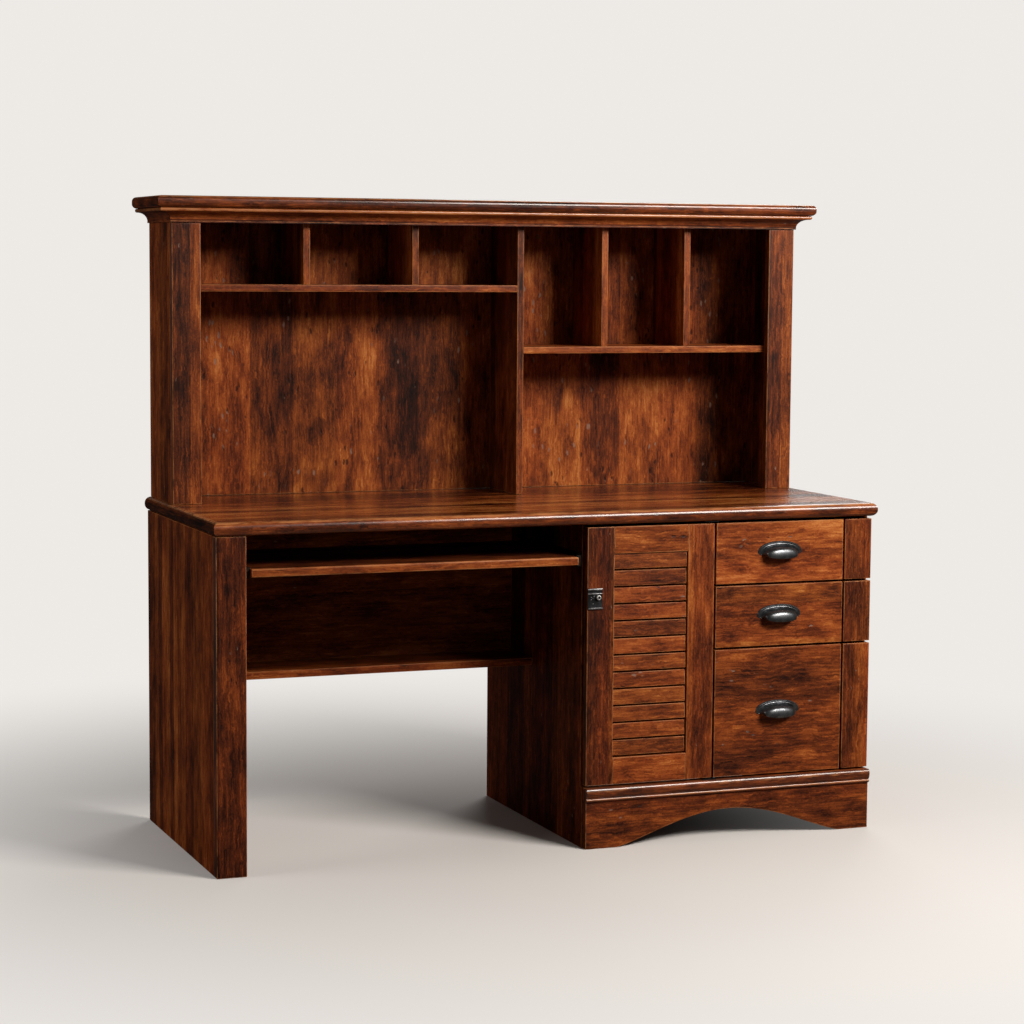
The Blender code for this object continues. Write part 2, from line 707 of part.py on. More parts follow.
def crown_front(outline, wood):
    """The front crown moulding with the rail behind it, mitred to the two returns."""
    shape = bmesh.new()
    top = CROWN_SLAB_UNDER - FIT
    rail_back = -HUTCH_STILE_THICK
    loop = [(0.0, CROWN_BASE)] + outline + [(0.0, top), (rail_back, top), (rail_back, CROWN_BASE)]
    rings = []
    for side in (-1, 1):
        ring = []
        for reach, height in loop:
            x = side * (HUTCH_X + max(reach, 0.0) - FIT)
            ring.append(shape.verts.new((x, behind(HUTCH_BACKSET - reach), height)))
        rings.append(ring)
    count = len(loop)
    top_index = count - 3
    for ring in rings:
        shape.faces.new(ring[:top_index + 1])
        shape.faces.new([ring[0], ring[top_index], ring[top_index + 1], ring[top_index + 2]])
    for index in range(count):
        after = (index + 1) % count
        shape.faces.new((rings[0][index], rings[0][after], rings[1][after], rings[1][index]))
    shade_round(make_object("crown_front", shape, (0, behind(HUTCH_BACKSET), CROWN_BASE), wood))


def make_hutch(wood, board_back):
    """The shelved hutch: sides, stiles, shelves, dividers, back, top slab and crown."""
    under = CROWN_SLAB_UNDER - FIT
    stile_back = HUTCH_BACKSET + HUTCH_STILE_THICK
    inner_x = HUTCH_X - HUTCH_STILE
    side_inner = HUTCH_X - HUTCH_SIDE
    for label, side in (("left", -1), ("right", 1)):
        outer = side * HUTCH_X
        stile_x = sorted((outer, side * inner_x))
        board(
            f"hutch_{label}_stile", stile_x, (HUTCH_BACKSET, stile_back),
            (HUTCH_BASE, CROWN_BASE - FIT), wood,
        )
        panel_x = sorted((outer, side * side_inner))
        board(
            f"hutch_{label}_panel", panel_x, (stile_back + FIT, TOP_DEPTH), (HUTCH_BASE, under), wood,
        )
    skin_x = (-side_inner + FIT, side_inner - FIT)
    board(
        "hutch_back", skin_x, (BACK_SKIN_FRONT, BACK_SKIN_FRONT + BACK_SKIN), (HUTCH_BASE, under),
        board_back,
    )
    nosed_slab(
        "hutch_top", HUTCH_X + CROWN_SIDE_REACH, (HUTCH_BACKSET - CROWN_FRONT_REACH, TOP_DEPTH),
        (CROWN_SLAB_UNDER, HEIGHT), CROWN_NOSE, wood,
    )
    outline = moulding_outline()
    crown_front(outline, wood)
    crown_return("crown_left_return", -1, outline, wood)
    crown_return("crown_right_return", 1, outline, wood)

    shelf_depth = (SHELF_BACKSET, SHELF_BACK)
    centre_right = CENTRE_X + SHELF_THICK
    board("hutch_centre_divider", (CENTRE_X, centre_right), shelf_depth, (HUTCH_BASE, under), wood)
    bays = (
        ("left", LEFT_SHELF_TOP, -side_inner + FIT, CENTRE_X - FIT, -inner_x, CENTRE_X),
        ("right", RIGHT_SHELF_TOP, centre_right + FIT, side_inner - FIT, centre_right, inner_x),
    )
    for label, top, shelf_left, shelf_right, open_left, open_right in bays:
        board(
            f"hutch_{label}_shelf", (shelf_left, shelf_right), shelf_depth, (top - SHELF_THICK, top),
            wood,
        )
        walls = CUBBIES_PER_SIDE - 1
        bay = (open_right - open_left - walls * SHELF_THICK) / CUBBIES_PER_SIDE
        for index in range(walls):
            x = open_left + bay + index * (bay + SHELF_THICK)
            place = ("inner", "outer")[index if label == "right" else 1 - index]
            board(
                f"hutch_{label}_{place}_cubby_divider", (x, x + SHELF_THICK), shelf_depth,
                (top + FIT, under), wood,
            )


def main():
    for old in list(bpy.data.objects):
        bpy.data.objects.remove(old)
    wood = finish("cherry", (0.16, 0.050, 0.022), 0.38)
    board_back = finish("back_board", (0.070, 0.026, 0.014), 0.60)
    pale = finish("drawer_box_board", (0.20, 0.085, 0.040), 0.55)
    metal = finish("slide_steel", (0.45, 0.45, 0.46), 0.35, 0.9)
    pewter = finish("dark_pewter", (0.115, 0.115, 0.120), 0.34, 0.9)
    black = finish("black_iron", (0.018, 0.018, 0.020), 0.42, 0.6)
    bright = finish("bright_nickel", (0.60, 0.60, 0.58), 0.22, 1.0)
    make_desk_frame(wood, board_back)
    make_tray(wood, metal)
    make_door(wood, black, bright)
    for label, z_span in zip(DRAWER_NAMES, DRAWER_Z):
        make_drawer(label, z_span, wood, pale, metal, pewter)
    make_hutch(wood, board_back)


main()
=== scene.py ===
"""The finished look of the computer desk: eased and worn boards, mouldings, slats, pulls and studio.

Every board takes its place from the CAD node it replaces. Wood carries three attributes: "grain", the
point in the board's own frame (along the grain, across it, through it, in metres), "edge", which is 1
on the eased edges and fades to 0 on the faces and pales them, as wear and, on noses and the plinth's
beads, partly as a painted highlight, and "tone", which is how much lighter the board is, partly
painted light, and below a nose painted shade.
"""
import math
import random

import bmesh
import bpy
from mathutils import Matrix, Vector


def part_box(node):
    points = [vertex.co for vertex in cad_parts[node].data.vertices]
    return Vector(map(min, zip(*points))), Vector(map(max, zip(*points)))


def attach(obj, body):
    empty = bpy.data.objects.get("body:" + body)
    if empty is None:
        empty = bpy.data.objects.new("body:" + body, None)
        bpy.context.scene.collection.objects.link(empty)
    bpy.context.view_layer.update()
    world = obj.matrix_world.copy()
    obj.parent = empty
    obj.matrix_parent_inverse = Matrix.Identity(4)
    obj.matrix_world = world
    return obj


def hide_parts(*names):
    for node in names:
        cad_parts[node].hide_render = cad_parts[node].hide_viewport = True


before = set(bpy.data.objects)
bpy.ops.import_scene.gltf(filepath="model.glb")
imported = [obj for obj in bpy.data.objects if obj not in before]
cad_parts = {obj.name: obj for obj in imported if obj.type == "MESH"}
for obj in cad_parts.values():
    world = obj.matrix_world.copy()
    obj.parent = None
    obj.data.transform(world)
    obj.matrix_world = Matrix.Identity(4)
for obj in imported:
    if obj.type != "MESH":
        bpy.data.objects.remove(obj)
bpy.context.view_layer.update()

# Camera: in front of the desk and to its left, almost level, with a long lens
CAMERA_PLACE = (-2.151, -5.590, 1.317)
CAMERA_HEADING = math.radians(21.06)
CAMERA_DIP = math.radians(5.53)
CAMERA_ROLL = math.radians(0.40)
CAMERA_LENS = 91.1

# Rounding and wear of the boards' edges, which take at most a share of a thin board or narrow face
EASE = 0.0012
WORN_WIDTH = 0.0035
THIN_SHARE = 0.3

# Visible gaps are a little wider than the CAD's, because their edges are rounded
TRIM = 0.0010

# Room kept between touching pieces
CLEAR = 0.0003

# A face larger than this, in square metres, is never part of a rounded edge; a face whose normal
# leans sideways, forward or back by more than these belongs to a board's end, front edge or rear
LARGEST_ROUNDED_FACE = 4e-4
LOOKS_SIDEWAYS = 0.6
LOOKS_FORWARD = 0.25
LOOKS_BACK = 0.9

# Nosed boards: the radius of their rounding, the width of their wear, and how far down the rounding,
# as a share of its radius, the palest part (partly wear, partly a painted highlight) and the part
# free of painted shade reach
DESK_NOSE = 0.0145
HUTCH_NOSE = 0.0105
NOSE_WEAR = 0.007
NOSE_CREST = 0.35
NOSE_WITHOUT_PAINTED_SHADE = 0.6

# How much lighter or darker than its kind some boards' timber is; for the dividers it is partly a
# painted highlight, and for the modesty panel painted light in the kneehole's shade
TONES = {
    # modesty_panel: lighter as painted light in the kneehole's shade
    "desk_top": 0.05, "left_end_panel": 0.06, "left_front_stile": 0.01, "modesty_panel": 0.23,
    "keyboard_tray": -0.01, "plinth_apron": -0.09,
    "door_left_stile": -0.09, "door_right_stile": -0.02,
    "upper_drawer_front": 0.12, "middle_drawer_front": 0.03,
    "upper_drawer_end_stile": -0.08, "middle_drawer_end_stile": -0.06, "lower_drawer_end_stile": -0.06,
    "hutch_top": 0.04, "hutch_back": 0.03, "hutch_left_panel": 0.06, "hutch_right_stile": -0.04,
    # The centre and cubby dividers: lighter, partly a painted highlight on their front edges
    "hutch_left_shelf": 0.03, "hutch_right_shelf": 0.08, "hutch_centre_divider": 0.05,
    "hutch_left_inner_cubby_divider": 0.11, "hutch_left_outer_cubby_divider": 0.11,
    "hutch_right_inner_cubby_divider": 0.11, "hutch_right_outer_cubby_divider": 0.11,
}

# Plinth: its arch, the height where its batten begins, and the (height, reach) of the two beads of
# its moulding, which stand on a thin ground
ARCH_FOOT = 0.076
ARCH_RISE = 0.070
ARCH_FLATNESS = 1.25
ARCH_STEPS = 80
BATTEN_FOOT = 0.115
LARGE_BEAD = (0.023, 0.0065)
SMALL_BEAD = (0.009, 0.0045)
BEAD_GROUND = 0.0012

# Crown: its bead, the step below its cove, and how far the whole stands out
CROWN_BEAD = 0.009
CROWN_FILLET = 0.004
CROWN_REACH = 0.033
COVE_REACH = 0.027
COVE_STEPS = 16

# Door: the pivots' pins, how far behind its front they stand, and the radius of their holes
PIN_SETBACK = 0.006
PIN_HOLE = 0.0035

# Louvre: how many slats, how far each leans back at its top, the backing board, and the gaps
SLATS = 12
SLAT_LEAN = 0.0018
SLAT_TOP_GAP = 0.0004
SLAT_FRONT_GAP = 0.0042
SLAT_BACK_GAP = 0.0050
SLAT_STANDOFF = 0.0002
LOUVRE_BACKING = 0.0045

# Drawer: the boards of its box, and how far its front's tongue starts before the end stile
BOX_WALL = 0.012
BOX_FLOOR = 0.009
BOX_GROOVE = 0.003
TONGUE_LEAD = 0.004

# Latch: its plate, whose lips are paler where they stand out furthest, partly rubbed and partly a
# painted highlight, its knob with a hollow painted black as painted shade, the bores for the knob's
# spindle, and the cam that turns behind the door
PLATE_THICKNESS = 0.0022
PLATE_RUBBED_AND_HIGHLIT = 0.0036
KNOB_RADIUS = 0.0055
KNOB_HOLLOW = 0.0029
DOOR_BORE = 0.0032
PLATE_BORE = 0.0031
CAM_THICKNESS = 0.0024
CAM_SWING = 0.0235
CAM_PLAY = 0.0008

# The studio: what surrounds it to the eye, and the dimmer light that it gives the desk
BACKDROP = (0.85, 0.82, 0.79)
AMBIENT = (0.075, 0.070, 0.066)
FLOOR_BOUNCE = (0.26, 0.20, 0.16)

# Cup pull: its place in the CAD piece's box, and its tips, which are higher on rings wider than the cup
PULL_DROP = 0.014
PULL_SHIFT = -0.0015
PULL_CUP = 0.0486
PULL_TIP = -0.003
PULL_TIP_SLOPE = 0.6

# Each of its rings is an arch in steps that crowd towards its blunt tips, and rises sooner than a sine
PULL_STEPS = 56
PULL_CROWDING = 0.8
PULL_BLUNT = 0.0008
PULL_RISE = 0.78

# The rings from the wall over the brim and the cup to its inside, each given by half its width, how
# far it stands out, how high it rises, and how full it is near its tips
PULL_RINGS = (
    (0.0555, 0.0000, 0.0287, 0.4), (0.0555, 0.0018, 0.0287, 0.4), (0.0548, 0.0036, 0.0279, 0.4),
    (0.0534, 0.0046, 0.0264, 0.4), (0.0520, 0.0036, 0.0249, 0.4), (0.0510, 0.0034, 0.0241, 0.4),
    (0.0499, 0.0045, 0.0229, 0.4), (0.0486, 0.0046, 0.0215, 0.4), (0.0474, 0.0032, 0.0198, 0.4),
    (0.0452, 0.0024, 0.0178, 0.29), (0.0438, 0.0070, 0.0166, 0.29), (0.0428, 0.0130, 0.0158, 0.29),
    (0.0420, 0.0178, 0.0146, 0.29), (0.0412, 0.0210, 0.0124, 0.29), (0.0406, 0.0232, 0.0092, 0.29),
    (0.0400, 0.0246, 0.0052, 0.29), (0.0396, 0.0256, 0.0010, 0.29), (0.0393, 0.0262, -0.0034, 0.29),
    (0.0391, 0.0262, -0.0072, 0.29), (0.0388, 0.0255, -0.0098, 0.29), (0.0382, 0.0244, -0.0108, 0.29),
    (0.0374, 0.0232, -0.0106, 0.29), (0.0368, 0.0220, -0.0090, 0.29), (0.0372, 0.0198, -0.0010, 0.29),
    (0.0384, 0.0158, 0.0060, 0.29), (0.0400, 0.0088, 0.0120, 0.29), (0.0410, 0.0000, 0.0140, 0.29),
)

X, Y, Z = 0, 1, 2


# ---------------------------------------------------------------------------------------- materials

class Graph:
    """A short way to write one material's nodes."""

    def __init__(self, name):
        self.material = bpy.data.materials.new(name)
        self.material.use_nodes = True
        self.tree = self.material.node_tree
        self.shader = self.tree.nodes["Principled BSDF"]

    def node(self, kind, **settings):
        """Add a node and set its own properties."""
        made = self.tree.nodes.new(kind)
        for key, value in settings.items():
            setattr(made, key, value)
        return made

    def feed(self, socket, value):
        """Link an output to a socket, or set the socket to a value."""
        if isinstance(value, bpy.types.NodeSocket):
            self.tree.links.new(value, socket)
        else:
            socket.default_value = value

    def attribute(self, name, output):
        """An attribute stored on the mesh."""
        return self.node("ShaderNodeAttribute", attribute_name=name).outputs[output]

    def place(self):
        """The point in the object's own frame, for pieces that have no grain attribute."""
        return self.node("ShaderNodeTexCoord").outputs["Object"]

    def math(self, operation, first, second=0.0, third=0.0):
        """Arithmetic on up to three numbers or outputs."""
        made = self.node("ShaderNodeMath", operation=operation)
        for socket, value in zip(made.inputs, (first, second, third)):
            self.feed(socket, value)
        return made.outputs[0]

    def added(self, first, second):
        """The sum of two vectors."""
        made = self.node("ShaderNodeVectorMath", operation="ADD")
        self.feed(made.inputs[0], first)
        self.feed(made.inputs[1], second)
        return made.outputs[0]

    def scaled(self, vector, factors):
        """A vector with each of its parts multiplied by its own factor."""
        made = self.node("ShaderNodeVectorMath", operation="MULTIPLY")
        self.feed(made.inputs[0], vector)
        made.inputs[1].default_value = factors
        return made.outputs[0]

    def noise(self, vector, factors, detail=2.0, roughness=0.5):
        """Smooth noise around 0.5, with its own number of waves a metre in each direction."""
        made = self.node("ShaderNodeTexNoise")
        self.feed(made.inputs["Vector"], self.scaled(vector, factors))
        made.inputs["Scale"].default_value = 1.0
        made.inputs["Detail"].default_value = detail
        made.inputs["Roughness"].default_value = roughness
        return made.outputs["Fac"]

    def chance(self, value):
        """A random value from 0 to 1 that changes only where the given value does."""
        made = self.node("ShaderNodeTexWhiteNoise", noise_dimensions="1D")
        self.feed(made.inputs["W"], value)
        return made.outputs["Value"]

    def step(self, value, low, high):
        """0 below low, 1 above high, smooth between."""
        made = self.node("ShaderNodeMapRange", interpolation_type="SMOOTHSTEP")
        self.feed(made.inputs["Value"], value)
        made.inputs["From Min"].default_value = low
        made.inputs["From Max"].default_value = high
        return made.outputs["Result"]

    def ramp(self, value, stops):
        """A colour read from (position, colour) stops."""
        made = self.node("ShaderNodeValToRGB")
        ramp = made.color_ramp
        while len(ramp.elements) < len(stops):
            ramp.elements.new(0.5)
        for element, (position, colour) in zip(ramp.elements, stops):
            element.position = position
            element.color = (*colour, 1.0)
        self.feed(made.inputs["Fac"], value)
        return made.outputs["Color"]

    def mix(self, factor, first, second, blend="MIX"):
        """The first colour turning into the second as the factor goes from 0 to 1."""
        made = self.node("ShaderNodeMix", data_type="RGBA", blend_type=blend)
        self.feed(made.inputs["Factor"], factor)
        for socket, value in ((made.inputs["A"], first), (made.inputs["B"], second)):
            self.feed(socket, (*value, 1.0) if isinstance(value, tuple) else value)
        return made.outputs["Result"]

    def bump(self, height, distance, strength):
        """Give the shader the small relief of a height."""
        made = self.node("ShaderNodeBump")
        self.feed(made.inputs["Height"], height)
        made.inputs["Distance"].default_value = distance
        made.inputs["Strength"].default_value = strength
        self.tree.links.new(made.outputs["Normal"], self.shader.inputs["Normal"])

    def set(self, **values):
        """Set the shader's own sockets, named with underscores for spaces."""
        for key, value in values.items():
            self.feed(self.shader.inputs[key.replace("_", " ")], value)


# Stain of the wood, from its darkest pores to its palest streaks
STAIN = (
    (0.04, (0.0050, 0.0011, 0.0006)),
    (0.26, (0.0320, 0.0058, 0.0018)),
    (0.46, (0.1050, 0.0190, 0.0045)),
    (0.64, (0.2300, 0.0440, 0.0085)),
    (0.80, (0.3700, 0.0880, 0.0170)),
    (0.98, (0.5400, 0.1750, 0.0450)),
)
# Colour of the paler edges: wear, and on noses and the plinth's beads partly a painted highlight
WORN_AND_HIGHLIT_TO = (0.48, 0.185, 0.065)
DENT_DARK = (0.004, 0.003, 0.003)
DENT_CHALKY = (0.24, 0.15, 0.11)


def wavy_grain(g, grain):
    """The grain's point pushed sideways by a coarse and a fine noise, so that its lines waver."""
    sway = g.noise(grain, (7.0, 3.0, 3.0), 2.0, 0.5)
    quiver = g.noise(grain, (55.0, 24.0, 24.0), 2.0, 0.6)
    push = g.math("MULTIPLY", g.math("SUBTRACT", sway, 0.5), 0.022)
    push = g.math("MULTIPLY_ADD", g.math("SUBTRACT", quiver, 0.5), 0.010, push)
    aside = g.node("ShaderNodeCombineXYZ")
    g.feed(aside.inputs["Y"], push)
    g.feed(aside.inputs["Z"], push)
    return g.added(grain, aside.outputs[0])


def glued_strips(g, grain, width):
    """Two random values for each of the strips that a board is glued from."""
    parts = g.node("ShaderNodeSeparateXYZ")
    g.feed(parts.inputs[0], grain)
    drift = g.noise(grain, (1.1, 0.0, 0.0), 1.0)
    place = g.math("MULTIPLY_ADD", drift, 0.010, parts.outputs["Y"])
    number = g.math("FLOOR", g.math("DIVIDE", place, width))
    return g.chance(number), g.chance(g.math("ADD", number, 0.37))


def dented(g, grain, wavy, pitted):
    """How much of a dent there is, and its colour: dark, or chalky where the finish has gone."""
    cells = g.node("ShaderNodeTexVoronoi", feature="F1")
    g.feed(cells.inputs["Vector"], g.scaled(wavy, (24.0, 62.0, 62.0)))
    cells.inputs["Scale"].default_value = 1.0
    outside = g.step(cells.outputs["Distance"], 0.07 + pitted * 0.5, 0.15 + pitted)
    rare = g.step(g.noise(grain, (5.0, 12.0, 12.0), 2.0), 0.54 - pitted, 0.60 - pitted)
    chalky = g.step(g.noise(grain, (9.0, 14.0, 14.0), 1.0), 0.51, 0.56)
    dent = g.math("MULTIPLY", g.math("SUBTRACT", 1.0, outside), rare)
    return dent, g.mix(chalky, DENT_DARK, DENT_CHALKY)


def cherry(name, strip, strip_depth=0.30, depth=1.0, gloss=0.42, shine=0.22, coat=0.0, light=0.0,
           blotch=0.6, figure=0.62, wear_and_highlight=0.65, relief=0.45, fine=1.3, pitted=0.0):
    """Antiqued cherry: glued strips, wavy grain, rings, mottling, dents and edges paled by wear and
    painted highlight.

    strip is the strips' width and strip_depth how much they differ; depth darkens the stain and light
    lightens the wood; blotch, figure, wear_and_highlight and relief are how strong the mottling, the
    grain, the rubbed edges with their partly painted highlight and the bump are; fine scales how close
    together the grain's streaks lie; pitted is how much more of the wood is dented."""
    g = Graph(name)
    grain = g.attribute("grain", "Vector")
    wavy = wavy_grain(g, grain)
    strip_tone, strip_hue = glued_strips(g, grain, strip)

    rings = g.math("SINE", g.math("MULTIPLY", g.noise(wavy, (1.2, 9.0, 9.0), 1.0, 0.4), 120.0))
    mottle = g.noise(grain, (11.0, 26.0, 26.0), 4.0, 0.62)
    cloud = g.noise(grain, (3.0, 9.0, 9.0), 2.0, 0.5)
    streak = g.noise(wavy, (6.0 * fine, 130.0 * fine, 130.0 * fine), 5.0, 0.70)
    strand = g.noise(wavy, (16.0, 330.0, 330.0), 3.0, 0.60)
    fleck = g.noise(grain, (260.0, 330.0, 330.0), 2.0, 0.6)
    ragged = g.noise(wavy, (17.0 * fine, 105.0 * fine, 105.0 * fine), 4.0, 0.72)
    ink = g.step(g.math("MULTIPLY_ADD", mottle, -0.75, ragged), 0.20, 0.36)
    flame = g.step(g.noise(wavy, (34.0, 190.0, 190.0), 2.0, 0.5), 0.56, 0.68)

    # All layers are weighed around their middle values into one tone, which the stain colours
    middle = 0.5 - strip_depth / 2 + light
    tone = g.math("MULTIPLY_ADD", strip_tone, strip_depth, middle)
    # The tone attribute adds each board's own offset, some of them painted light, and the painted shade
    # below a nose
    tone = g.math("ADD", tone, g.attribute("tone", "Fac"))
    for layer, centre, weight in (
        (mottle, 0.5, 1.10 * blotch), (cloud, 0.5, 0.85 * blotch), (streak, 0.5, 1.25 * figure),
        (strand, 0.5, 0.85 * figure), (fleck, 0.5, 0.40 * figure), (ink, 0.0, -0.17 * figure),
        (flame, 0.0, 0.17 * figure), (rings, 0.0, 0.05 * figure),
    ):
        tone = g.math("MULTIPLY_ADD", g.math("SUBTRACT", layer, centre), weight, tone)
    colour = g.ramp(tone, [(at, tuple(part * depth for part in rgb)) for at, rgb in STAIN])
    colour = g.mix(strip_hue, colour, (0.95, 1.12, 1.05), "MULTIPLY")

    dent, dent_colour = dented(g, grain, wavy, pitted)
    colour = g.mix(g.math("MULTIPLY", dent, 0.75), colour, dent_colour)
    # Edges paler by the edge attribute: wear, and on noses and beads partly a painted highlight
    patchy = g.noise(grain, (26.0, 80.0, 80.0), 3.0, 0.65)
    worn_and_highlit = g.step(g.math("MULTIPLY_ADD", patchy, 0.9, g.attribute("edge", "Fac")), 1.24, 1.54)
    colour = g.mix(g.math("MULTIPLY", worn_and_highlit, wear_and_highlight), colour, WORN_AND_HIGHLIT_TO)

    rough = g.math("MULTIPLY_ADD", streak, 0.24, gloss - 0.12)
    g.set(Base_Color=colour, Roughness=rough, Specular_IOR_Level=shine)
    if coat:
        g.set(Coat_Weight=coat, Coat_Roughness=0.14)
    height = g.math("MULTIPLY_ADD", streak, 0.6, g.math("MULTIPLY", strand, 0.4))
    height = g.math("MULTIPLY_ADD", fleck, 0.2, height)
    height = g.math("SUBTRACT", height, g.math("MULTIPLY", dent, 1.4))
    g.bump(height, 0.0008, relief)
    return g.material


def hardboard(name):
    """The raw brown rear of a thin back panel: felted fibres and a few scuffs."""
    g = Graph(name)
    point = g.place()
    fibres = g.noise(point, (420.0, 420.0, 420.0), 3.0, 0.7)
    clouds = g.noise(point, (5.0, 5.0, 5.0), 3.0, 0.6)
    tone = g.math("MULTIPLY_ADD", clouds, 0.6, g.math("MULTIPLY", fibres, 0.4))
    colour = g.ramp(tone, (
        (0.30, (0.150, 0.074, 0.036)),
        (0.50, (0.235, 0.125, 0.064)),
        (0.72, (0.330, 0.195, 0.108)),
    ))
    g.set(Base_Color=colour, Roughness=g.math("MULTIPLY_ADD", fibres, 0.2, 0.65))
    g.bump(fibres, 0.0003, 0.6)
    return g.material


def zinc(name):
    """Pressed steel of the slides: bright zinc with a drawn sheen and greasy smudges."""
    g = Graph(name)
    point = g.place()
    drawn = g.noise(point, (700.0, 14.0, 700.0), 3.0, 0.6)
    smudge = g.noise(point, (28.0, 28.0, 28.0), 3.0, 0.6)
    colour = g.mix(smudge, (0.30, 0.30, 0.31), (0.58, 0.58, 0.59))
    rough = g.math("MULTIPLY_ADD", smudge, 0.15, g.math("MULTIPLY_ADD", drawn, 0.2, 0.22))
    g.set(Base_Color=colour, Metallic=0.95, Roughness=rough)
    g.bump(drawn, 0.0002, 0.5)
    return g.material


def cast_metal(name, dark, bright, rough, grit, metallic):
    """Cast metal with a dark patina, rubbed brighter in patches, and a fine pitted skin."""
    g = Graph(name)
    point = g.place()
    patches = g.step(g.noise(point, (70.0, 70.0, 70.0), 4.0, 0.65), 0.38, 0.70)
    pits = g.noise(point, (900.0, 900.0, 900.0), 2.0, 0.6)
    lumps = g.noise(point, (240.0, 240.0, 240.0), 2.0, 0.5)
    roughness = g.math("MULTIPLY_ADD", pits, 0.20, g.math("MULTIPLY_ADD", patches, -0.08, rough))
    g.set(Base_Color=g.mix(patches, dark, bright), Metallic=metallic, Roughness=roughness)
    g.bump(g.math("MULTIPLY_ADD", pits, 0.5, lumps), grit, 0.7)
    return g.material


def studio_floor(name):
    """The pale studio floor, which fades into the pale surroundings; it throws little light back."""
    g = Graph(name)
    point = g.place()
    seen = g.node("ShaderNodeLightPath").outputs["Is Camera Ray"]
    distance = g.node("ShaderNodeVectorMath", operation="LENGTH")
    g.feed(distance.inputs[0], point)
    far = g.step(distance.outputs["Value"], 0.3, 2.5)
    clouds = g.noise(point, (1.3, 1.3, 1.3), 2.0)
    pale = g.mix(clouds, (0.76, 0.735, 0.71), (0.80, 0.775, 0.75))
    near = g.mix(seen, FLOOR_BOUNCE, pale)
    g.set(Base_Color=g.mix(far, near, (0.0, 0.0, 0.0)), Roughness=0.7, Specular_IOR_Level=0.0)
    glow = g.mix(seen, AMBIENT, BACKDROP)
    g.set(Emission_Color=glow, Emission_Strength=far)
    return g.material


WOOD = {
    "board": cherry("cherry_board", 0.046, gloss=0.45, shine=0.16, light=0.02),
    "stile": cherry("cherry_stile", 0.030, strip_depth=0.34, gloss=0.45, shine=0.16, light=-0.02),
    "front": cherry(
        "cherry_front", 0.085, strip_depth=0.16, gloss=0.45, shine=0.16, light=0.05, blotch=0.8,
        pitted=0.02,
    ),
    "slat": cherry(
        "cherry_slat", 0.300, strip_depth=0.16, gloss=0.45, shine=0.16, light=0.07, wear_and_highlight=0.8,
        pitted=0.04,
    ),
    "top": cherry(
        "cherry_top", 0.044, strip_depth=0.60, gloss=0.26, shine=0.30, coat=0.40, light=0.01,
        blotch=0.75, figure=1.05, relief=0.22, fine=0.65,
    ),
    "slab": cherry("cherry_slab", 0.300, gloss=0.52, shine=0.14, light=0.03, wear_and_highlight=0.5, relief=0.3),
    "back": cherry(
        "cherry_back", 0.105, strip_depth=0.24, gloss=0.55, shine=0.10, light=0.03, blotch=0.85,
        figure=0.55, fine=1.6, pitted=0.09,
    ),
    "side": cherry("cherry_side", 0.036, depth=0.90, gloss=0.55, shine=0.04, light=-0.02, wear_and_highlight=0.4),
    "moulding": cherry(
        "cherry_moulding", 0.300, gloss=0.30, shine=0.30, coat=0.45, light=0.03, wear_and_highlight=0.8, relief=0.25,
    ),
    "end": cherry("cherry_nose_end", 0.300, depth=0.90, gloss=0.55, shine=0.04, wear_and_highlight=0.4),
    # A darker copy of the stain for the boards inside the desk and behind the slats: partly painted
    # shade
    "inside": cherry("cherry_inside", 0.090, depth=0.85, gloss=0.55, shine=0.06, light=-0.04),
    "box": cherry("drawer_box_wood", 0.120, gloss=0.5, light=0.18, blotch=0.3, figure=0.5),
}
HARDBOARD = hardboard("raw_hardboard")
ZINC = zinc("zinc_plate")
PEWTER = cast_metal("dark_pewter", (0.055, 0.058, 0.063), (0.130, 0.136, 0.144), 0.24, 1e-5, 0.85)
BLACK_IRON = cast_metal("black_iron", (0.006, 0.006, 0.007), (0.028, 0.029, 0.032), 0.34, 3e-4, 0.6)
# Paler iron for the plate's lips, partly a painted highlight, and for the screw heads
RUBBED_AND_HIGHLIT_IRON = cast_metal("rubbed_iron", (0.10, 0.10, 0.105), (0.34, 0.34, 0.35), 0.26, 1e-4, 0.7)
BRONZED = cast_metal("bronzed_steel", (0.014, 0.009, 0.007), (0.040, 0.027, 0.020), 0.42, 1e-4, 0.7)
NICKEL = cast_metal("worn_nickel", (0.42, 0.41, 0.39), (0.80, 0.79, 0.76), 0.32, 1e-4, 0.6)


# ----------------------------------------------------------------------------------------- geometry

def piece(name, shape, body, material, node=None):
    """Make an object of a bmesh in the frame's own coordinates and let it ride on a body."""
    mesh = bpy.data.meshes.new(name)
    shape.to_mesh(mesh)
    shape.free()
    mesh.materials.append(material)
    obj = bpy.data.objects.new(name, mesh)
    bpy.context.scene.collection.objects.link(obj)
    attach(obj, body)
    if node is not None:
        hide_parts(node)
    return obj


def timber_offset(name):
    """Where in the timber a piece is cut from, so that no two pieces show the same grain."""
    dice = random.Random(name)
    return Vector((dice.uniform(-9, 9), dice.uniform(-9, 9), dice.uniform(-9, 9)))


def grain_axes(box, along):
    """A board's three directions: along the grain, across it and through it."""
    size = box[1] - box[0]
    others = sorted((axis for axis in (X, Y, Z) if axis != along), key=lambda axis: -size[axis])
    return (along, *others)


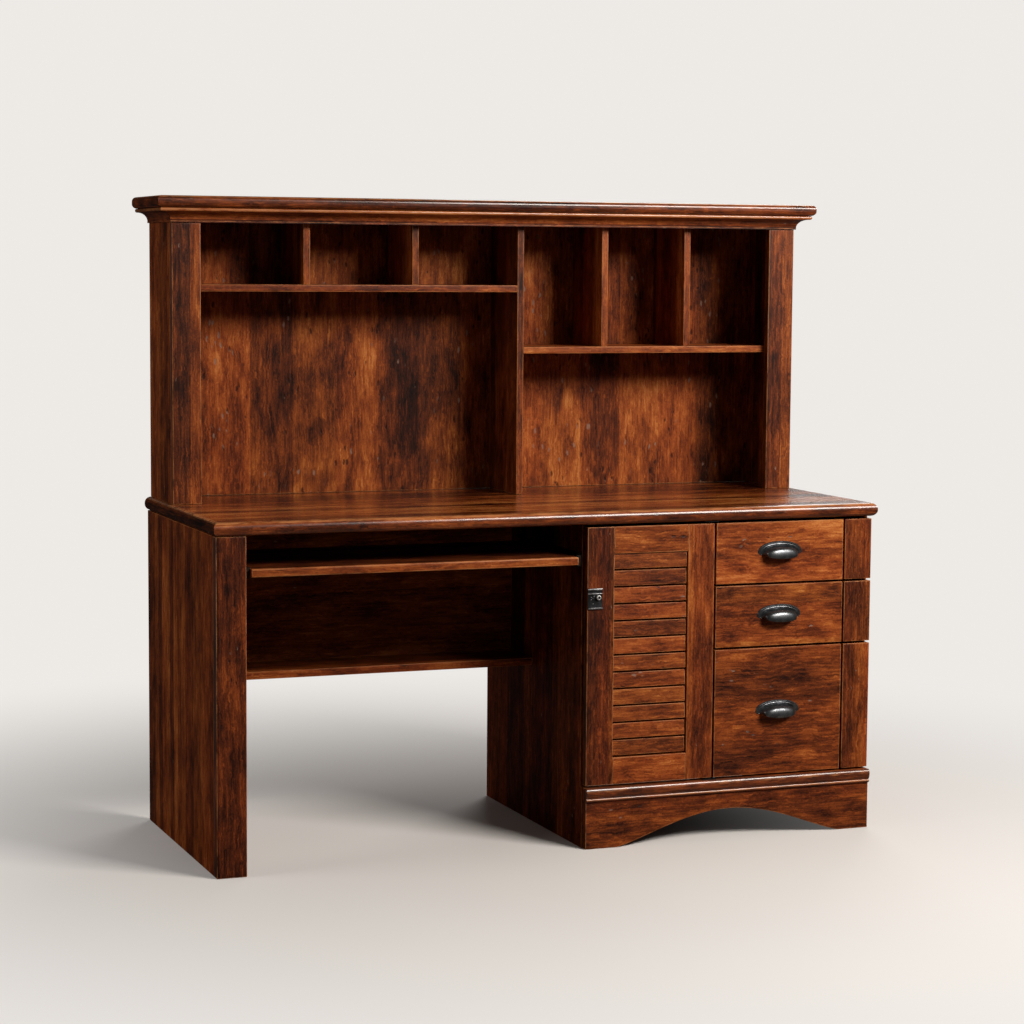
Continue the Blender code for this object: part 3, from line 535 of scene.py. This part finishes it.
def write_grain(mesh, axes, offset, edge_of, tone_and_painted_shade_of=None, end_axes=None):
    """Store the grain, edge and tone attributes on a finished mesh.

    Where end_axes is given, the grain runs that way on the faces that look left or right."""
    mesh.attributes.new("grain", "FLOAT_VECTOR", "CORNER")
    mesh.attributes.new("edge", "FLOAT", "POINT")
    mesh.attributes.new("tone", "FLOAT", "POINT")
    grain, edge, tones = (mesh.attributes[name] for name in ("grain", "edge", "tone"))
    for face in mesh.polygons:
        sideways = abs(face.normal.x) > LOOKS_SIDEWAYS
        used = end_axes if end_axes is not None and sideways else axes
        for corner in face.loop_indices:
            place = mesh.vertices[mesh.loops[corner].vertex_index].co
            grain.data[corner].vector = Vector([place[axis] for axis in used]) + offset
    for index in range(len(mesh.vertices)):
        edge.data[index].value = edge_of(index)
        tones.data[index].value = tone_and_painted_shade_of(index) if tone_and_painted_shade_of else 0.0


def key(point):
    """A point's place to a hundredth of a millimetre."""
    return tuple(round(part * 1e5) for part in point)


def box_shape(low, high):
    """A box between two corners."""
    shape = bmesh.new()
    bmesh.ops.create_cube(shape, size=1.0)
    for vert in shape.verts:
        for axis in (X, Y, Z):
            vert.co[axis] = low[axis] if vert.co[axis] < 0 else high[axis]
    return shape


def prism_shape(outline, axis, start, end):
    """An outline in the two other axes, in order, drawn out along an axis."""
    shape = bmesh.new()
    rings = []
    for place in (start, end):
        ring = []
        for first, second in outline:
            point = [first, second]
            point.insert(axis, place)
            ring.append(shape.verts.new(point))
        rings.append(ring)
    shape.faces.new(rings[0])
    shape.faces.new(rings[1])
    for index in range(len(outline)):
        after = (index + 1) % len(outline)
        shape.faces.new((rings[0][index], rings[0][after], rings[1][after], rings[1][index]))
    bmesh.ops.recalc_face_normals(shape, faces=shape.faces)
    return shape


def rod_shape(centre, axis, radius, length, sides=20):
    """A round bar centred on a point."""
    shape = bmesh.new()
    bmesh.ops.create_cone(
        shape, cap_ends=True, segments=sides, radius1=radius, radius2=radius, depth=length,
    )
    turn = {X: Matrix.Rotation(math.pi / 2, 4, "Y"), Y: Matrix.Rotation(math.pi / 2, 4, "X")}
    turned = turn.get(axis, Matrix.Identity(4))
    bmesh.ops.transform(shape, matrix=Matrix.Translation(centre) @ turned, verts=shape.verts)
    return shape


def straight(face):
    """Whether a face looks straight along an axis."""
    return max(abs(part) for part in face.normal) > 0.99999


def ease_edges(shape, radius, sharp=math.radians(25)):
    """Round every edge that turns by more than an angle."""
    edges = [edge for edge in shape.edges if edge.is_manifold and edge.calc_face_angle(0) > sharp]
    bmesh.ops.bevel(shape, geom=edges, offset=radius, segments=3, profile=0.5, affect="EDGES")


def mark_wear(shape, faces, width):
    """Inset faces a little, so that wear can fade inwards; returns the places of the worn verts."""
    calm = set()
    for face in faces:
        points = [vert.co for vert in face.verts]
        spans = sorted(
            max(point[axis] for point in points) - min(point[axis] for point in points)
            for axis in (X, Y, Z)
        )
        thickness = min(width, spans[1] * THIN_SHARE)
        bmesh.ops.inset_region(shape, faces=[face], thickness=thickness, use_even_offset=True)
        calm.update(face.verts)
    return {key(vert.co) for vert in shape.verts if vert not in calm}


def cut_away(shape, cutters):
    """Cut other shapes out of a shape."""
    for cutter in cutters:
        target_mesh = bpy.data.meshes.new("target")
        shape.to_mesh(target_mesh)
        shape.free()
        cutter_mesh = bpy.data.meshes.new("cutter")
        cutter.to_mesh(cutter_mesh)
        cutter.free()
        target = bpy.data.objects.new("target", target_mesh)
        tool = bpy.data.objects.new("tool", cutter_mesh)
        for obj in (target, tool):
            bpy.context.scene.collection.objects.link(obj)
        modifier = target.modifiers.new("cut", "BOOLEAN")
        modifier.operation = "DIFFERENCE"
        modifier.solver = "EXACT"
        modifier.object = tool
        evaluated = target.evaluated_get(bpy.context.evaluated_depsgraph_get())
        shape = bmesh.new()
        shape.from_mesh(evaluated.to_mesh())
        evaluated.to_mesh_clear()
        for obj in (target, tool):
            bpy.data.objects.remove(obj)
        bpy.data.meshes.remove(target_mesh)
        bpy.data.meshes.remove(cutter_mesh)
    return shape


def timber(name, shape, body, wood, along, box, node=None, width=WORN_WIDTH, slot="cherry",
           cutters=(), rear=None, tilted=False, nose=0.0, painted_shade=0.0):
    """Finish a board: wear, holes, shading, attributes. rear is the material of its back face.

    On a nosed board the line where the rounding begins is palest, partly wear and partly a painted
    highlight; what lies below it is darker by painted_shade, which is painted shade; and the front of
    the rounding is finished like a moulding."""
    shape.normal_update()
    flat = [face for face in shape.faces if straight(face)]
    if tilted:
        large = max(face.calc_area() for face in shape.faces)
        flat += [face for face in shape.faces if face.calc_area() > large * 0.9 and face not in flat]
    worn_and_highlit = mark_wear(shape, flat, width)
    shape = cut_away(shape, cutters)
    shape.normal_update()
    for face in shape.faces:
        rounded = not straight(face) and face.calc_area() < LARGEST_ROUNDED_FACE
        face.smooth = rounded or len(face.verts) == 4
        is_rear = rear is not None and face.normal.y > LOOKS_BACK
        is_end = nose and abs(face.normal.x) > LOOKS_SIDEWAYS
        if is_rear or is_end:
            face.material_index = 1
        elif nose and face.normal.y < -LOOKS_FORWARD:
            face.material_index = 2
    obj = piece(name, shape, body, WOOD[wood], node)
    if rear is not None or nose:
        obj.data.materials.append(rear or WOOD["end"])
    if nose:
        obj.data.materials.append(WOOD["moulding"])
    obj.data.set_sharp_from_angle(angle=math.radians(32))
    verts = obj.data.vertices
    top = box[1].z

    # On a nose the crest is palest, partly wear and partly a painted highlight; worn verts below it are
    # half as pale
    def edge_of(index):
        rubbed = 0.5 if nose and verts[index].co.z <= top - nose * NOSE_CREST else 1.0
        return rubbed if key(verts[index].co) in worn_and_highlit else 0.0

    # Below the upper part of its rounding a nosed board is darker by painted_shade: painted shade
    def tone_and_painted_shade_of(index):
        in_painted_shade = verts[index].co.z < top - nose * NOSE_WITHOUT_PAINTED_SHADE
        return TONES.get(node, 0.0) - painted_shade * in_painted_shade

    end_axes = (Y, Z, X) if nose else None
    write_grain(obj.data, grain_axes(box, along), timber_offset(name), edge_of, tone_and_painted_shade_of, end_axes)


def plank(name, low, high, along, wood, body, node=None, ease=EASE, **more):
    """A board with eased edges between two corners."""
    low, high = Vector(low), Vector(high)
    shape = box_shape(low, high)
    ease_edges(shape, min(ease, min(high - low) * THIN_SHARE))
    timber(name, shape, body, wood, along, (low, high), node, **more)


def trimmed(box, sides):
    """A box drawn in a little at its left, right, bottom or top, for a bolder gap there."""
    low, high = box[0].copy(), box[1].copy()
    low.x += TRIM * ("l" in sides)
    high.x -= TRIM * ("r" in sides)
    low.z += TRIM * ("b" in sides)
    high.z -= TRIM * ("t" in sides)
    return low, high


def board_of(node, along, wood, body="desk", trim="", **more):
    """A board that replaces the CAD node of the same place."""
    low, high = trimmed(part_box(node), trim)
    plank(f"{node}_board", low, high, along, wood, body, node, **more)


def nosed_board(node, along, wood, nose, painted_shade=0.0):
    """A slab with rounded front and side edges, and a square back."""
    low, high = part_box(node)
    shape = box_shape(low, high)
    rounded = []
    for edge in shape.edges:
        ends = [vert.co for vert in edge.verts]
        if abs(ends[0].z - ends[1].z) < 1e-6 and min(end.y for end in ends) < high.y - 1e-6:
            rounded.append(edge)
    bmesh.ops.bevel(shape, geom=rounded, offset=nose, segments=10, profile=0.5, affect="EDGES")
    timber(
        f"{node}_board", shape, "desk", wood, along, (low, high), node,
        width=NOSE_WEAR, nose=nose, painted_shade=painted_shade,
    )


def moulding(node, rings, cap_parts, axes, crest, wood="moulding"):
    """Join rings of points into a moulding; crest tells how pale each point of a ring is, as wear and,
    on the plinth's beads, partly as a painted highlight.
    """
    shape = bmesh.new()
    made = [[shape.verts.new(point) for point in ring] for ring in rings]
    count = len(rings[0])
    for first, second in zip(made, made[1:]):
        for index in range(count):
            after = (index + 1) % count
            shape.faces.new((first[index], first[after], second[after], second[index]))
    for ring in (made[0], made[-1]):
        for part in cap_parts:
            shape.faces.new([ring[index] for index in part])
    bmesh.ops.recalc_face_normals(shape, faces=shape.faces)
    obj = piece(f"{node}_profile", shape, "desk", WOOD[wood], node)
    obj.data.shade_smooth()
    obj.data.set_sharp_from_angle(angle=math.radians(38))
    write_grain(obj.data, axes, timber_offset(node), lambda index: crest[index % count])


def half_round(top, height, reach, steps):
    """Points down the front of a bead, as (height, how far out)."""
    points = []
    for step in range(steps + 1):
        angle = math.pi * step / steps
        points.append((top - height * (1 - math.cos(angle)) / 2, reach * math.sin(angle)))
    return points


# ------------------------------------------------------------------------------------------- desk

def make_desk_frame():
    """The desk's boards, the pedestal's sides and its plinth."""
    # The desk top's nose is darker below its upper rounding: painted shade
    nosed_board("desk_top", X, "top", DESK_NOSE, painted_shade=0.15)
    for node, along, wood in (
        ("left_front_stile", Z, "stile"),
        ("left_end_panel", Z, "side"),
        ("pedestal_partition", Z, "inside"),
        ("pedestal_bottom", X, "inside"),
        ("modesty_panel", X, "inside"),
        ("kneehole_ledge", X, "board"),
    ):
        board_of(node, along, wood)
    board_of("pedestal_back", Z, "inside", rear=HARDBOARD, slot="back_board")
    make_pedestal_side("pedestal_left_panel", (strike_cutter(),))
    make_pedestal_side("pedestal_right_panel", ())
    make_plinth()


def make_pedestal_side(node, cutters):
    """A pedestal side: it steps forward below, where the plinth is fixed to it."""
    low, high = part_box(node)
    step_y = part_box("pedestal_partition")[0].y
    step_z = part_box("plinth_apron")[1].z
    outline = (
        (low.y, low.z), (high.y, low.z), (high.y, high.z),
        (step_y, high.z), (step_y, step_z), (low.y, step_z),
    )
    shape = prism_shape(outline, X, low.x, high.x)
    ease_edges(shape, EASE)
    timber(f"{node}_board", shape, "desk", "side", Z, (low, high), node, cutters=cutters)


def knob_centre():
    """The middle of the latch's knob, on the door's front."""
    low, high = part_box("latch_knob")
    return Vector(((low.x + high.x) / 2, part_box("door_left_stile")[0].y, high.z - KNOB_RADIUS))


def strike_cutter():
    """The slot in the pedestal's left side that the latch's cam turns into."""
    low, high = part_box("latch_knob")
    rear = high.y + CAM_PLAY
    front = high.y - CAM_THICKNESS - CAM_PLAY
    margin = 0.002
    corner = (knob_centre().x - CAM_SWING - margin, front, low.z - margin)
    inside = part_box("pedestal_left_panel")[1].x
    return box_shape(corner, (inside + 0.001, rear, high.z + 0.0015))


def make_plinth():
    """The apron with its arch, the batten behind it, and the moulding along its top."""
    low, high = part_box("plinth_apron")
    span = high.x - low.x - 2 * ARCH_FOOT
    outline = [(low.x, high.z), (low.x, low.z)]
    for step in range(ARCH_STEPS + 1):
        share = step / ARCH_STEPS
        height = ARCH_RISE * max(math.sin(math.pi * share), 0.0) ** ARCH_FLATNESS
        outline.append((low.x + ARCH_FOOT + span * share, low.z + height))
    outline += [(high.x, low.z), (high.x, high.z)]
    shape = prism_shape(outline, Y, low.y, high.y)
    ease_edges(shape, EASE)
    timber("plinth_apron_board", shape, "desk", "front", X, (low, high), "plinth_apron")

    side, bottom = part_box("pedestal_left_panel"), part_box("pedestal_bottom")
    plank(
        "plinth_batten", (bottom[0].x, side[0].y, low.z + BATTEN_FOOT),
        (bottom[1].x, bottom[0].y - CLEAR, bottom[0].z - CLEAR), X, "inside", "desk", "pedestal_bottom",
    )
    make_plinth_moulding()


def make_plinth_moulding():
    """Two beads, the large one paler along its upper half and the small one along its front: partly
    wear, partly a painted highlight where the light falls from above.
    """
    low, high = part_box("plinth_moulding")
    back = high.y
    section, crest = [], []
    for height, out in half_round(high.z, *LARGE_BEAD, 16):
        section.append((back - BEAD_GROUND - out, height))
        # Paler crest on the large bead's upper front: partly wear, partly a painted highlight
        crest.append(0.85 if out > 0.0042 and height > high.z - 0.0115 else 0.2)
    for height, out in half_round(high.z - LARGE_BEAD[0], *SMALL_BEAD, 10)[1:]:
        section.append((back - BEAD_GROUND - out, height))
        crest.append(1.0 if out > 0.003 and height > low.z + 0.0045 else 0.2)
    section += [(back, low.z), (back, high.z)]
    crest += [0.0, 0.0]
    rings = [[(x, y, z) for y, z in section] for x in (low.x, high.x)]
    moulding("plinth_moulding", rings, [range(len(section))], (X, Z, Y), crest)


def make_tray():
    """The keyboard tray's board, with softly rounded edges."""
    board_of("keyboard_tray", X, "board", "tray", ease=0.0025)


def make_door():
    """Stiles bored for the latch's spindle and for the pivots' pins, rails, and the louvre."""
    left_low, left_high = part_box("door_left_stile")
    bore = rod_shape(knob_centre(), Y, DOOR_BORE, 0.08)
    board_of("door_left_stile", Z, "stile", "door", trim="lbt", cutters=(bore,))
    pins = []
    for node, height in (("door_upper_pivot", left_high.z), ("door_lower_pivot", left_low.z)):
        low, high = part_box(node)
        place = ((low.x + high.x) / 2, left_low.y + PIN_SETBACK, height)
        pins.append(rod_shape(place, Z, PIN_HOLE, 0.032))
    board_of("door_right_stile", Z, "stile", "door", trim="rbt", cutters=pins)
    board_of("door_top_rail", X, "slat", "door", trim="t")
    board_of("door_bottom_rail", X, "slat", "door", trim="b")
    make_louvre()


def make_louvre():
    """The fixed slats in front of their backing board."""
    low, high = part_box("door_louvre_panel")
    backing = high.y - LOUVRE_BACKING
    # The backing is the darker inside wood: partly painted shade in the gaps between the slats
    plank("louvre_backing", (low.x, backing, low.z), high, Z, "inside", "door", "door_louvre_panel")
    back = backing - SLAT_STANDOFF
    pitch = (high.z - low.z) / SLATS
    for index in range(SLATS):
        top = high.z - index * pitch
        bottom = top - pitch
        outline = (
            (low.y + SLAT_LEAN, top - SLAT_TOP_GAP), (back, top - SLAT_TOP_GAP),
            (back, bottom + SLAT_BACK_GAP), (low.y, bottom + SLAT_FRONT_GAP),
        )
        end_gap = 0.0030 if index % 3 else 0.0024
        shape = prism_shape(outline, X, low.x + 0.0004, high.x - end_gap)
        ease_edges(shape, 0.0008)
        corners = (Vector((low.x, low.y, bottom)), Vector((high.x, back, top)))
        name = f"slat_{index + 1:02d}"
        timber(name, shape, "door", "slat", X, corners, width=0.003, tilted=True)


def make_drawer(label):
    """Front board with a tongue behind its end stile, the stile, and a box of five boards."""
    body = f"{label}_drawer"
    front = f"{label}_drawer_front"
    low, high = trimmed(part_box(front), "lrbt")
    stile_low, stile_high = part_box(f"{label}_drawer_end_stile")
    shoulder = stile_low.x - TONGUE_LEAD
    tongue = stile_high.y + CLEAR
    outline = (
        (low.x, low.y), (shoulder, low.y), (shoulder, tongue),
        (high.x, tongue), (high.x, high.y), (low.x, high.y),
    )
    shape = prism_shape(outline, Z, low.z, high.z)
    ease_edges(shape, EASE)
    timber(f"{front}_board", shape, body, "front", X, (low, high), front)
    board_of(f"{label}_drawer_end_stile", Z, "stile", body, trim="lrbt")

    box = f"{label}_drawer_box"
    low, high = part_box(box)
    left, right = low.x + BOX_WALL, high.x - BOX_WALL
    inner_front, inner_back = low.y + BOX_WALL, high.y - BOX_WALL
    for side, corner, opposite, along in (
        ("left", low, (left, high.y, high.z), Y),
        ("right", (right, low.y, low.z), high, Y),
        ("front", (left, low.y, low.z), (right, inner_front, high.z), X),
        ("back", (left, inner_back, low.z), (right, high.y, high.z), X),
        ("bottom", (left, inner_front, low.z + BOX_GROOVE), (right, inner_back, low.z + BOX_FLOOR), Y),
    ):
        name = f"{box}_{side}"
        plank(name, corner, opposite, along, "box", body, box, slot="drawer_board", ease=0.0007)


def make_pull(label):
    """A cup pull: a double-ridged brim on the drawer front and a domed cup that is open below."""
    node = f"{label}_drawer_pull"
    low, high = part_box(node)
    centre = Vector(((low.x + high.x) / 2 + PULL_SHIFT, high.y, low.z + PULL_DROP))
    shape = bmesh.new()
    made = []
    for half, out, up, fullness in PULL_RINGS:
        tip = PULL_TIP + max(half - PULL_CUP, 0.0) * PULL_TIP_SLOPE
        ring = []
        for step in range(PULL_STEPS + 1):
            share = step / PULL_STEPS
            angle = math.pi * share - PULL_CROWDING * math.sin(2 * math.pi * share) / 2
            girth = max(math.sin(angle), PULL_BLUNT)
            lift = tip + (up - tip) * girth ** PULL_RISE
            place = (half * math.cos(angle), -out * girth ** fullness, lift)
            ring.append(shape.verts.new(centre + Vector(place)))
        made.append(ring)
    made.append(made[0])
    for first, second in zip(made, made[1:]):
        for index in range(PULL_STEPS):
            shape.faces.new((first[index], second[index], second[index + 1], first[index + 1]))
    for end in (0, PULL_STEPS):
        shape.faces.new([ring[end] for ring in made[:-1]])
    bmesh.ops.recalc_face_normals(shape, faces=shape.faces)
    obj = piece(f"{label}_cup_pull", shape, f"{label}_drawer", PEWTER, node)
    obj.data.shade_smooth()
    obj.data.set_sharp_from_angle(angle=math.radians(50))


def metal(name, shape, body, material, node, ease=0.0006):
    """Finish a metal piece: eased edges and smooth shading."""
    if ease:
        ease_edges(shape, ease)
    obj = piece(name, shape, body, material, node)
    obj.data.shade_smooth()
    obj.data.set_sharp_from_angle(angle=math.radians(40))
    return obj


def recolour(obj, material, chosen):
    """Give a second material to the faces whose centres are chosen."""
    obj.data.materials.append(material)
    for face in obj.data.polygons:
        face.material_index = int(chosen(face.center))


def lathe(points, centre, sides=32):
    """Turn a profile of (out, radius) points about a line towards the front."""
    shape = bmesh.new()
    rings = []
    for out, radius in points:
        ring = []
        for step in range(sides):
            angle = 2 * math.pi * step / sides
            offset = Vector((radius * math.cos(angle), -out, radius * math.sin(angle)))
            ring.append(shape.verts.new(centre + offset))
        rings.append(ring)
    for first, second in zip(rings, rings[1:]):
        for step in range(sides):
            after = (step + 1) % sides
            shape.faces.new((first[step], first[after], second[after], second[step]))
    shape.faces.new(rings[0])
    shape.faces.new(rings[-1])
    bmesh.ops.recalc_face_normals(shape, faces=shape.faces)
    return shape


def make_latch():
    """The latch on the door: its iron plate and screws, and the knob with its spindle and cam."""
    low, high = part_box("latch_plate")
    back = high.y
    front = back - PLATE_THICKNESS
    upper_lip = (
        (0.0, 0.0), (0.0045, 0.0), (0.0052, 0.0012), (0.0052, 0.0034), (0.0025, 0.0052),
        (0.0025, 0.0100), (0.0038, 0.0112), (0.0038, 0.0130), (PLATE_THICKNESS, 0.0144),
    )
    lower_lip = ((PLATE_THICKNESS, 0.0042), (0.0042, 0.0030), (0.0042, 0.0008), (0.0034, 0.0))
    outline = [(back, low.z)]
    outline += [(back - out, high.z - down) for out, down in upper_lip]
    outline += [(back - out, low.z + up) for out, up in lower_lip]
    shape = prism_shape(outline, X, low.x, high.x)
    centre = knob_centre()
    centre.y = back
    shape = cut_away(shape, (rod_shape(centre, Y, PLATE_BORE, 0.03),))
    plate = metal("latch_plate_iron", shape, "door", BLACK_IRON, "latch_plate", ease=0.0004)
    # Lips paler where they stand out furthest: partly rubbed iron, partly a painted highlight
    recolour(plate, RUBBED_AND_HIGHLIT_IRON, lambda place: place.y < back - PLATE_RUBBED_AND_HIGHLIT)

    head = ((0.0, 0.0014), (0.0005, 0.0014), (0.0009, 0.0011), (0.0012, 0.0006), (0.0013, 0.0001))
    screws = ((0.0080, 0.0220), (0.0080, 0.0275), (0.0120, 0.0250), (0.0150, 0.0290), (0.0125, 0.0120))
    for index, (aside, up) in enumerate(screws):
        shape = lathe(head, Vector((low.x + aside, front, low.z + up)), 16)
        metal(f"latch_screw_{index + 1}", shape, "door", RUBBED_AND_HIGHLIT_IRON, "latch_plate", ease=0)
    make_knob(Vector((centre.x, front, centre.z)))


def make_knob(centre):
    """The knob, hollow in front, turned in one with its spindle, and the cam behind the door."""
    low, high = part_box("latch_knob")
    out = centre.y - low.y
    profile = (
        (-0.020, 0.0024), (0.0004, 0.0024), (0.0005, 0.0034), (out - 0.0042, 0.0036),
        (out - 0.0040, 0.0054), (out - 0.0010, KNOB_RADIUS), (out - 0.0003, 0.0050), (out, 0.0040),
        (out - 0.0003, 0.0030), (out - 0.0030, 0.0026), (out - 0.0031, 0.0002),
    )
    shape = lathe(profile, centre)
    knob = metal("latch_knob_turned", shape, "knob", NICKEL, "latch_knob", ease=0)
    # Black inside the knob's hollow: painted shade in the recess
    recolour(knob, BLACK_IRON, lambda place: (place - centre).xz.length < KNOB_HOLLOW)
    cam_low = (centre.x - KNOB_RADIUS, high.y - CAM_THICKNESS, low.z)
    cam_high = (centre.x + KNOB_RADIUS, high.y, centre.z + KNOB_RADIUS)
    metal("latch_cam", box_shape(cam_low, cam_high), "knob", ZINC, "latch_knob")


def make_hutch():
    """The hutch's boards, its top slab and its crown."""
    for node, along, wood in (
        ("hutch_left_stile", Z, "stile"),
        ("hutch_right_stile", Z, "stile"),
        ("hutch_left_panel", Z, "side"),
        ("hutch_right_panel", Z, "side"),
        ("hutch_centre_divider", Z, "stile"),
        ("hutch_left_shelf", X, "board"),
        ("hutch_right_shelf", X, "board"),
        ("hutch_left_inner_cubby_divider", Z, "stile"),
        ("hutch_left_outer_cubby_divider", Z, "stile"),
        ("hutch_right_inner_cubby_divider", Z, "stile"),
        ("hutch_right_outer_cubby_divider", Z, "stile"),
    ):
        board_of(node, along, wood)
    board_of("hutch_back", Z, "back", rear=HARDBOARD, slot="back_board")
    nosed_board("hutch_top", X, "slab", HUTCH_NOSE)
    make_crown()


def crown_section():
    """The crown's fillet, cove and bead, as (how far out, height), and how worn each point is."""
    low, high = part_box("crown_front")
    cove_low = low.z + CROWN_FILLET
    bead_low = high.z - CROWN_BEAD
    section = [(0.0, low.z), (CROWN_FILLET, low.z), (CROWN_FILLET, cove_low - 0.0008)]
    crest = [0.0, 0.5, 1.0]
    for step in range(1, COVE_STEPS + 1):
        angle = math.pi / 2 * step / COVE_STEPS
        out = CROWN_FILLET + (COVE_REACH - CROWN_FILLET) * (1 - math.cos(angle))
        section.append((out, cove_low + (bead_low - cove_low) * math.sin(angle)))
        crest.append(0.15)
    for height, out in reversed(half_round(high.z, CROWN_BEAD, CROWN_BEAD / 2, 10)):
        section.append((CROWN_REACH - CROWN_BEAD / 2 + out, height))
        crest.append(1.0 if out > CROWN_BEAD * 0.3 else 0.5)
    section.append((0.0, high.z))
    crest.append(0.0)
    return section, crest


def make_crown():
    """The crown along the front and both sides, mitred at the corners, and the rail behind it."""
    section, crest = crown_section()
    low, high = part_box("crown_front")
    stile_low, stile_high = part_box("hutch_right_stile")
    panel_x = stile_high.x
    face_y = stile_low.y
    count = len(section)
    for node, side in (("crown_left_return", -1), ("crown_right_return", 1)):
        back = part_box(node)[1].y
        mitred, square = [], []
        for out, height in section:
            x = side * (panel_x + max(out, CLEAR))
            mitred.append((x, face_y - out + CLEAR, height))
            square.append((x, back, height))
        moulding(node, [mitred, square], [range(count)], (Y, Z, X), crest, "end")
    rings = []
    for side in (-1, 1):
        ring = [(side * (panel_x + out - CLEAR), face_y - out, height) for out, height in section]
        rail_x = side * (panel_x - CLEAR)
        ring += [(rail_x, stile_high.y, high.z), (rail_x, stile_high.y, low.z)]
        rings.append(ring)
    caps = [range(count), (0, count - 1, count, count + 1)]
    moulding("crown_front", rings, caps, (X, Z, Y), crest + [0.0, 0.0])


def finish_slides():
    """The drawer runners, tray rails and door pivots keep their CAD shapes."""
    for ending, material in (("_runner", ZINC), ("_rail", BRONZED), ("_pivot", BLACK_IRON)):
        for node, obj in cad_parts.items():
            if node.endswith(ending) and not obj.hide_render:
                obj.data.materials.clear()
                obj.data.materials.append(material)


# ----------------------------------------------------------------------------------------- studio

def make_floor():
    """The floor that the desk stands on."""
    shape = bmesh.new()
    bmesh.ops.create_grid(shape, x_segments=1, y_segments=1, size=20.0)
    mesh = bpy.data.meshes.new("studio_floor")
    shape.to_mesh(mesh)
    shape.free()
    mesh.materials.append(studio_floor("pale_floor"))
    floor = bpy.data.objects.new("studio_floor", mesh)
    floor.location = (0, 0, -0.0005)
    bpy.context.scene.collection.objects.link(floor)


def make_lights():
    """A large key light from the right, a soft fill from the left and a light from the rear."""
    for name, place, aim, size, power, colour in (
        ("key_light", (2.0, -3.2, 2.9), (0.05, 0.0, 0.75), (1.8, 1.2), 216.0, (1.0, 0.945, 0.88)),
        ("soft_light", (-4.4, -0.2, 1.9), (0.0, 0.0, 0.7), (2.0, 2.0), 44.0, (1.0, 0.97, 0.94)),
        ("rear_light", (2.6, 4.0, 3.2), (0.0, 0.0, 0.8), (2.5, 2.5), 90.0, (1.0, 0.98, 0.96)),
    ):
        light = bpy.data.lights.new(name, "AREA")
        light.shape = "RECTANGLE"
        light.size, light.size_y = size
        light.energy = power
        light.color = colour
        lamp = bpy.data.objects.new(name, light)
        lamp.location = place
        lamp.rotation_euler = (Vector(aim) - Vector(place)).to_track_quat("-Z", "Y").to_euler()
        lamp.visible_camera = False
        bpy.context.scene.collection.objects.link(lamp)


def make_world():
    """Surroundings that look pale but light the desk only dimly."""
    world = bpy.data.worlds.new("studio")
    world.use_nodes = True
    nodes, links = world.node_tree.nodes, world.node_tree.links
    seen = nodes.new("ShaderNodeLightPath").outputs["Is Camera Ray"]
    around = nodes.new("ShaderNodeMix")
    around.data_type = "RGBA"
    links.new(seen, around.inputs["Factor"])
    around.inputs["A"].default_value = (*AMBIENT, 1.0)
    around.inputs["B"].default_value = (*BACKDROP, 1.0)
    links.new(around.outputs["Result"], nodes["Background"].inputs["Color"])
    nodes["Background"].inputs["Strength"].default_value = 1.0
    bpy.context.scene.world = world
    bpy.context.scene.view_settings.view_transform = "Standard"


def make_camera():
    """The camera at the photo's angle."""
    camera_data = bpy.data.cameras.new("camera")
    camera_data.lens = CAMERA_LENS
    camera_data.sensor_width = 36.0
    camera = bpy.data.objects.new("camera", camera_data)
    heading = Matrix.Rotation(-CAMERA_HEADING, 4, "Z")
    dip = Matrix.Rotation(math.pi / 2 - CAMERA_DIP, 4, "X")
    roll = Matrix.Rotation(CAMERA_ROLL, 4, "Z")
    camera.matrix_world = Matrix.Translation(CAMERA_PLACE) @ heading @ dip @ roll
    bpy.context.scene.collection.objects.link(camera)
    bpy.context.scene.camera = camera


make_floor()
make_lights()
make_world()
make_camera()
make_desk_frame()
make_tray()
make_door()
make_latch()
for drawer in ("upper", "middle", "lower"):
    make_drawer(drawer)
    make_pull(drawer)
make_hutch()
finish_slides()
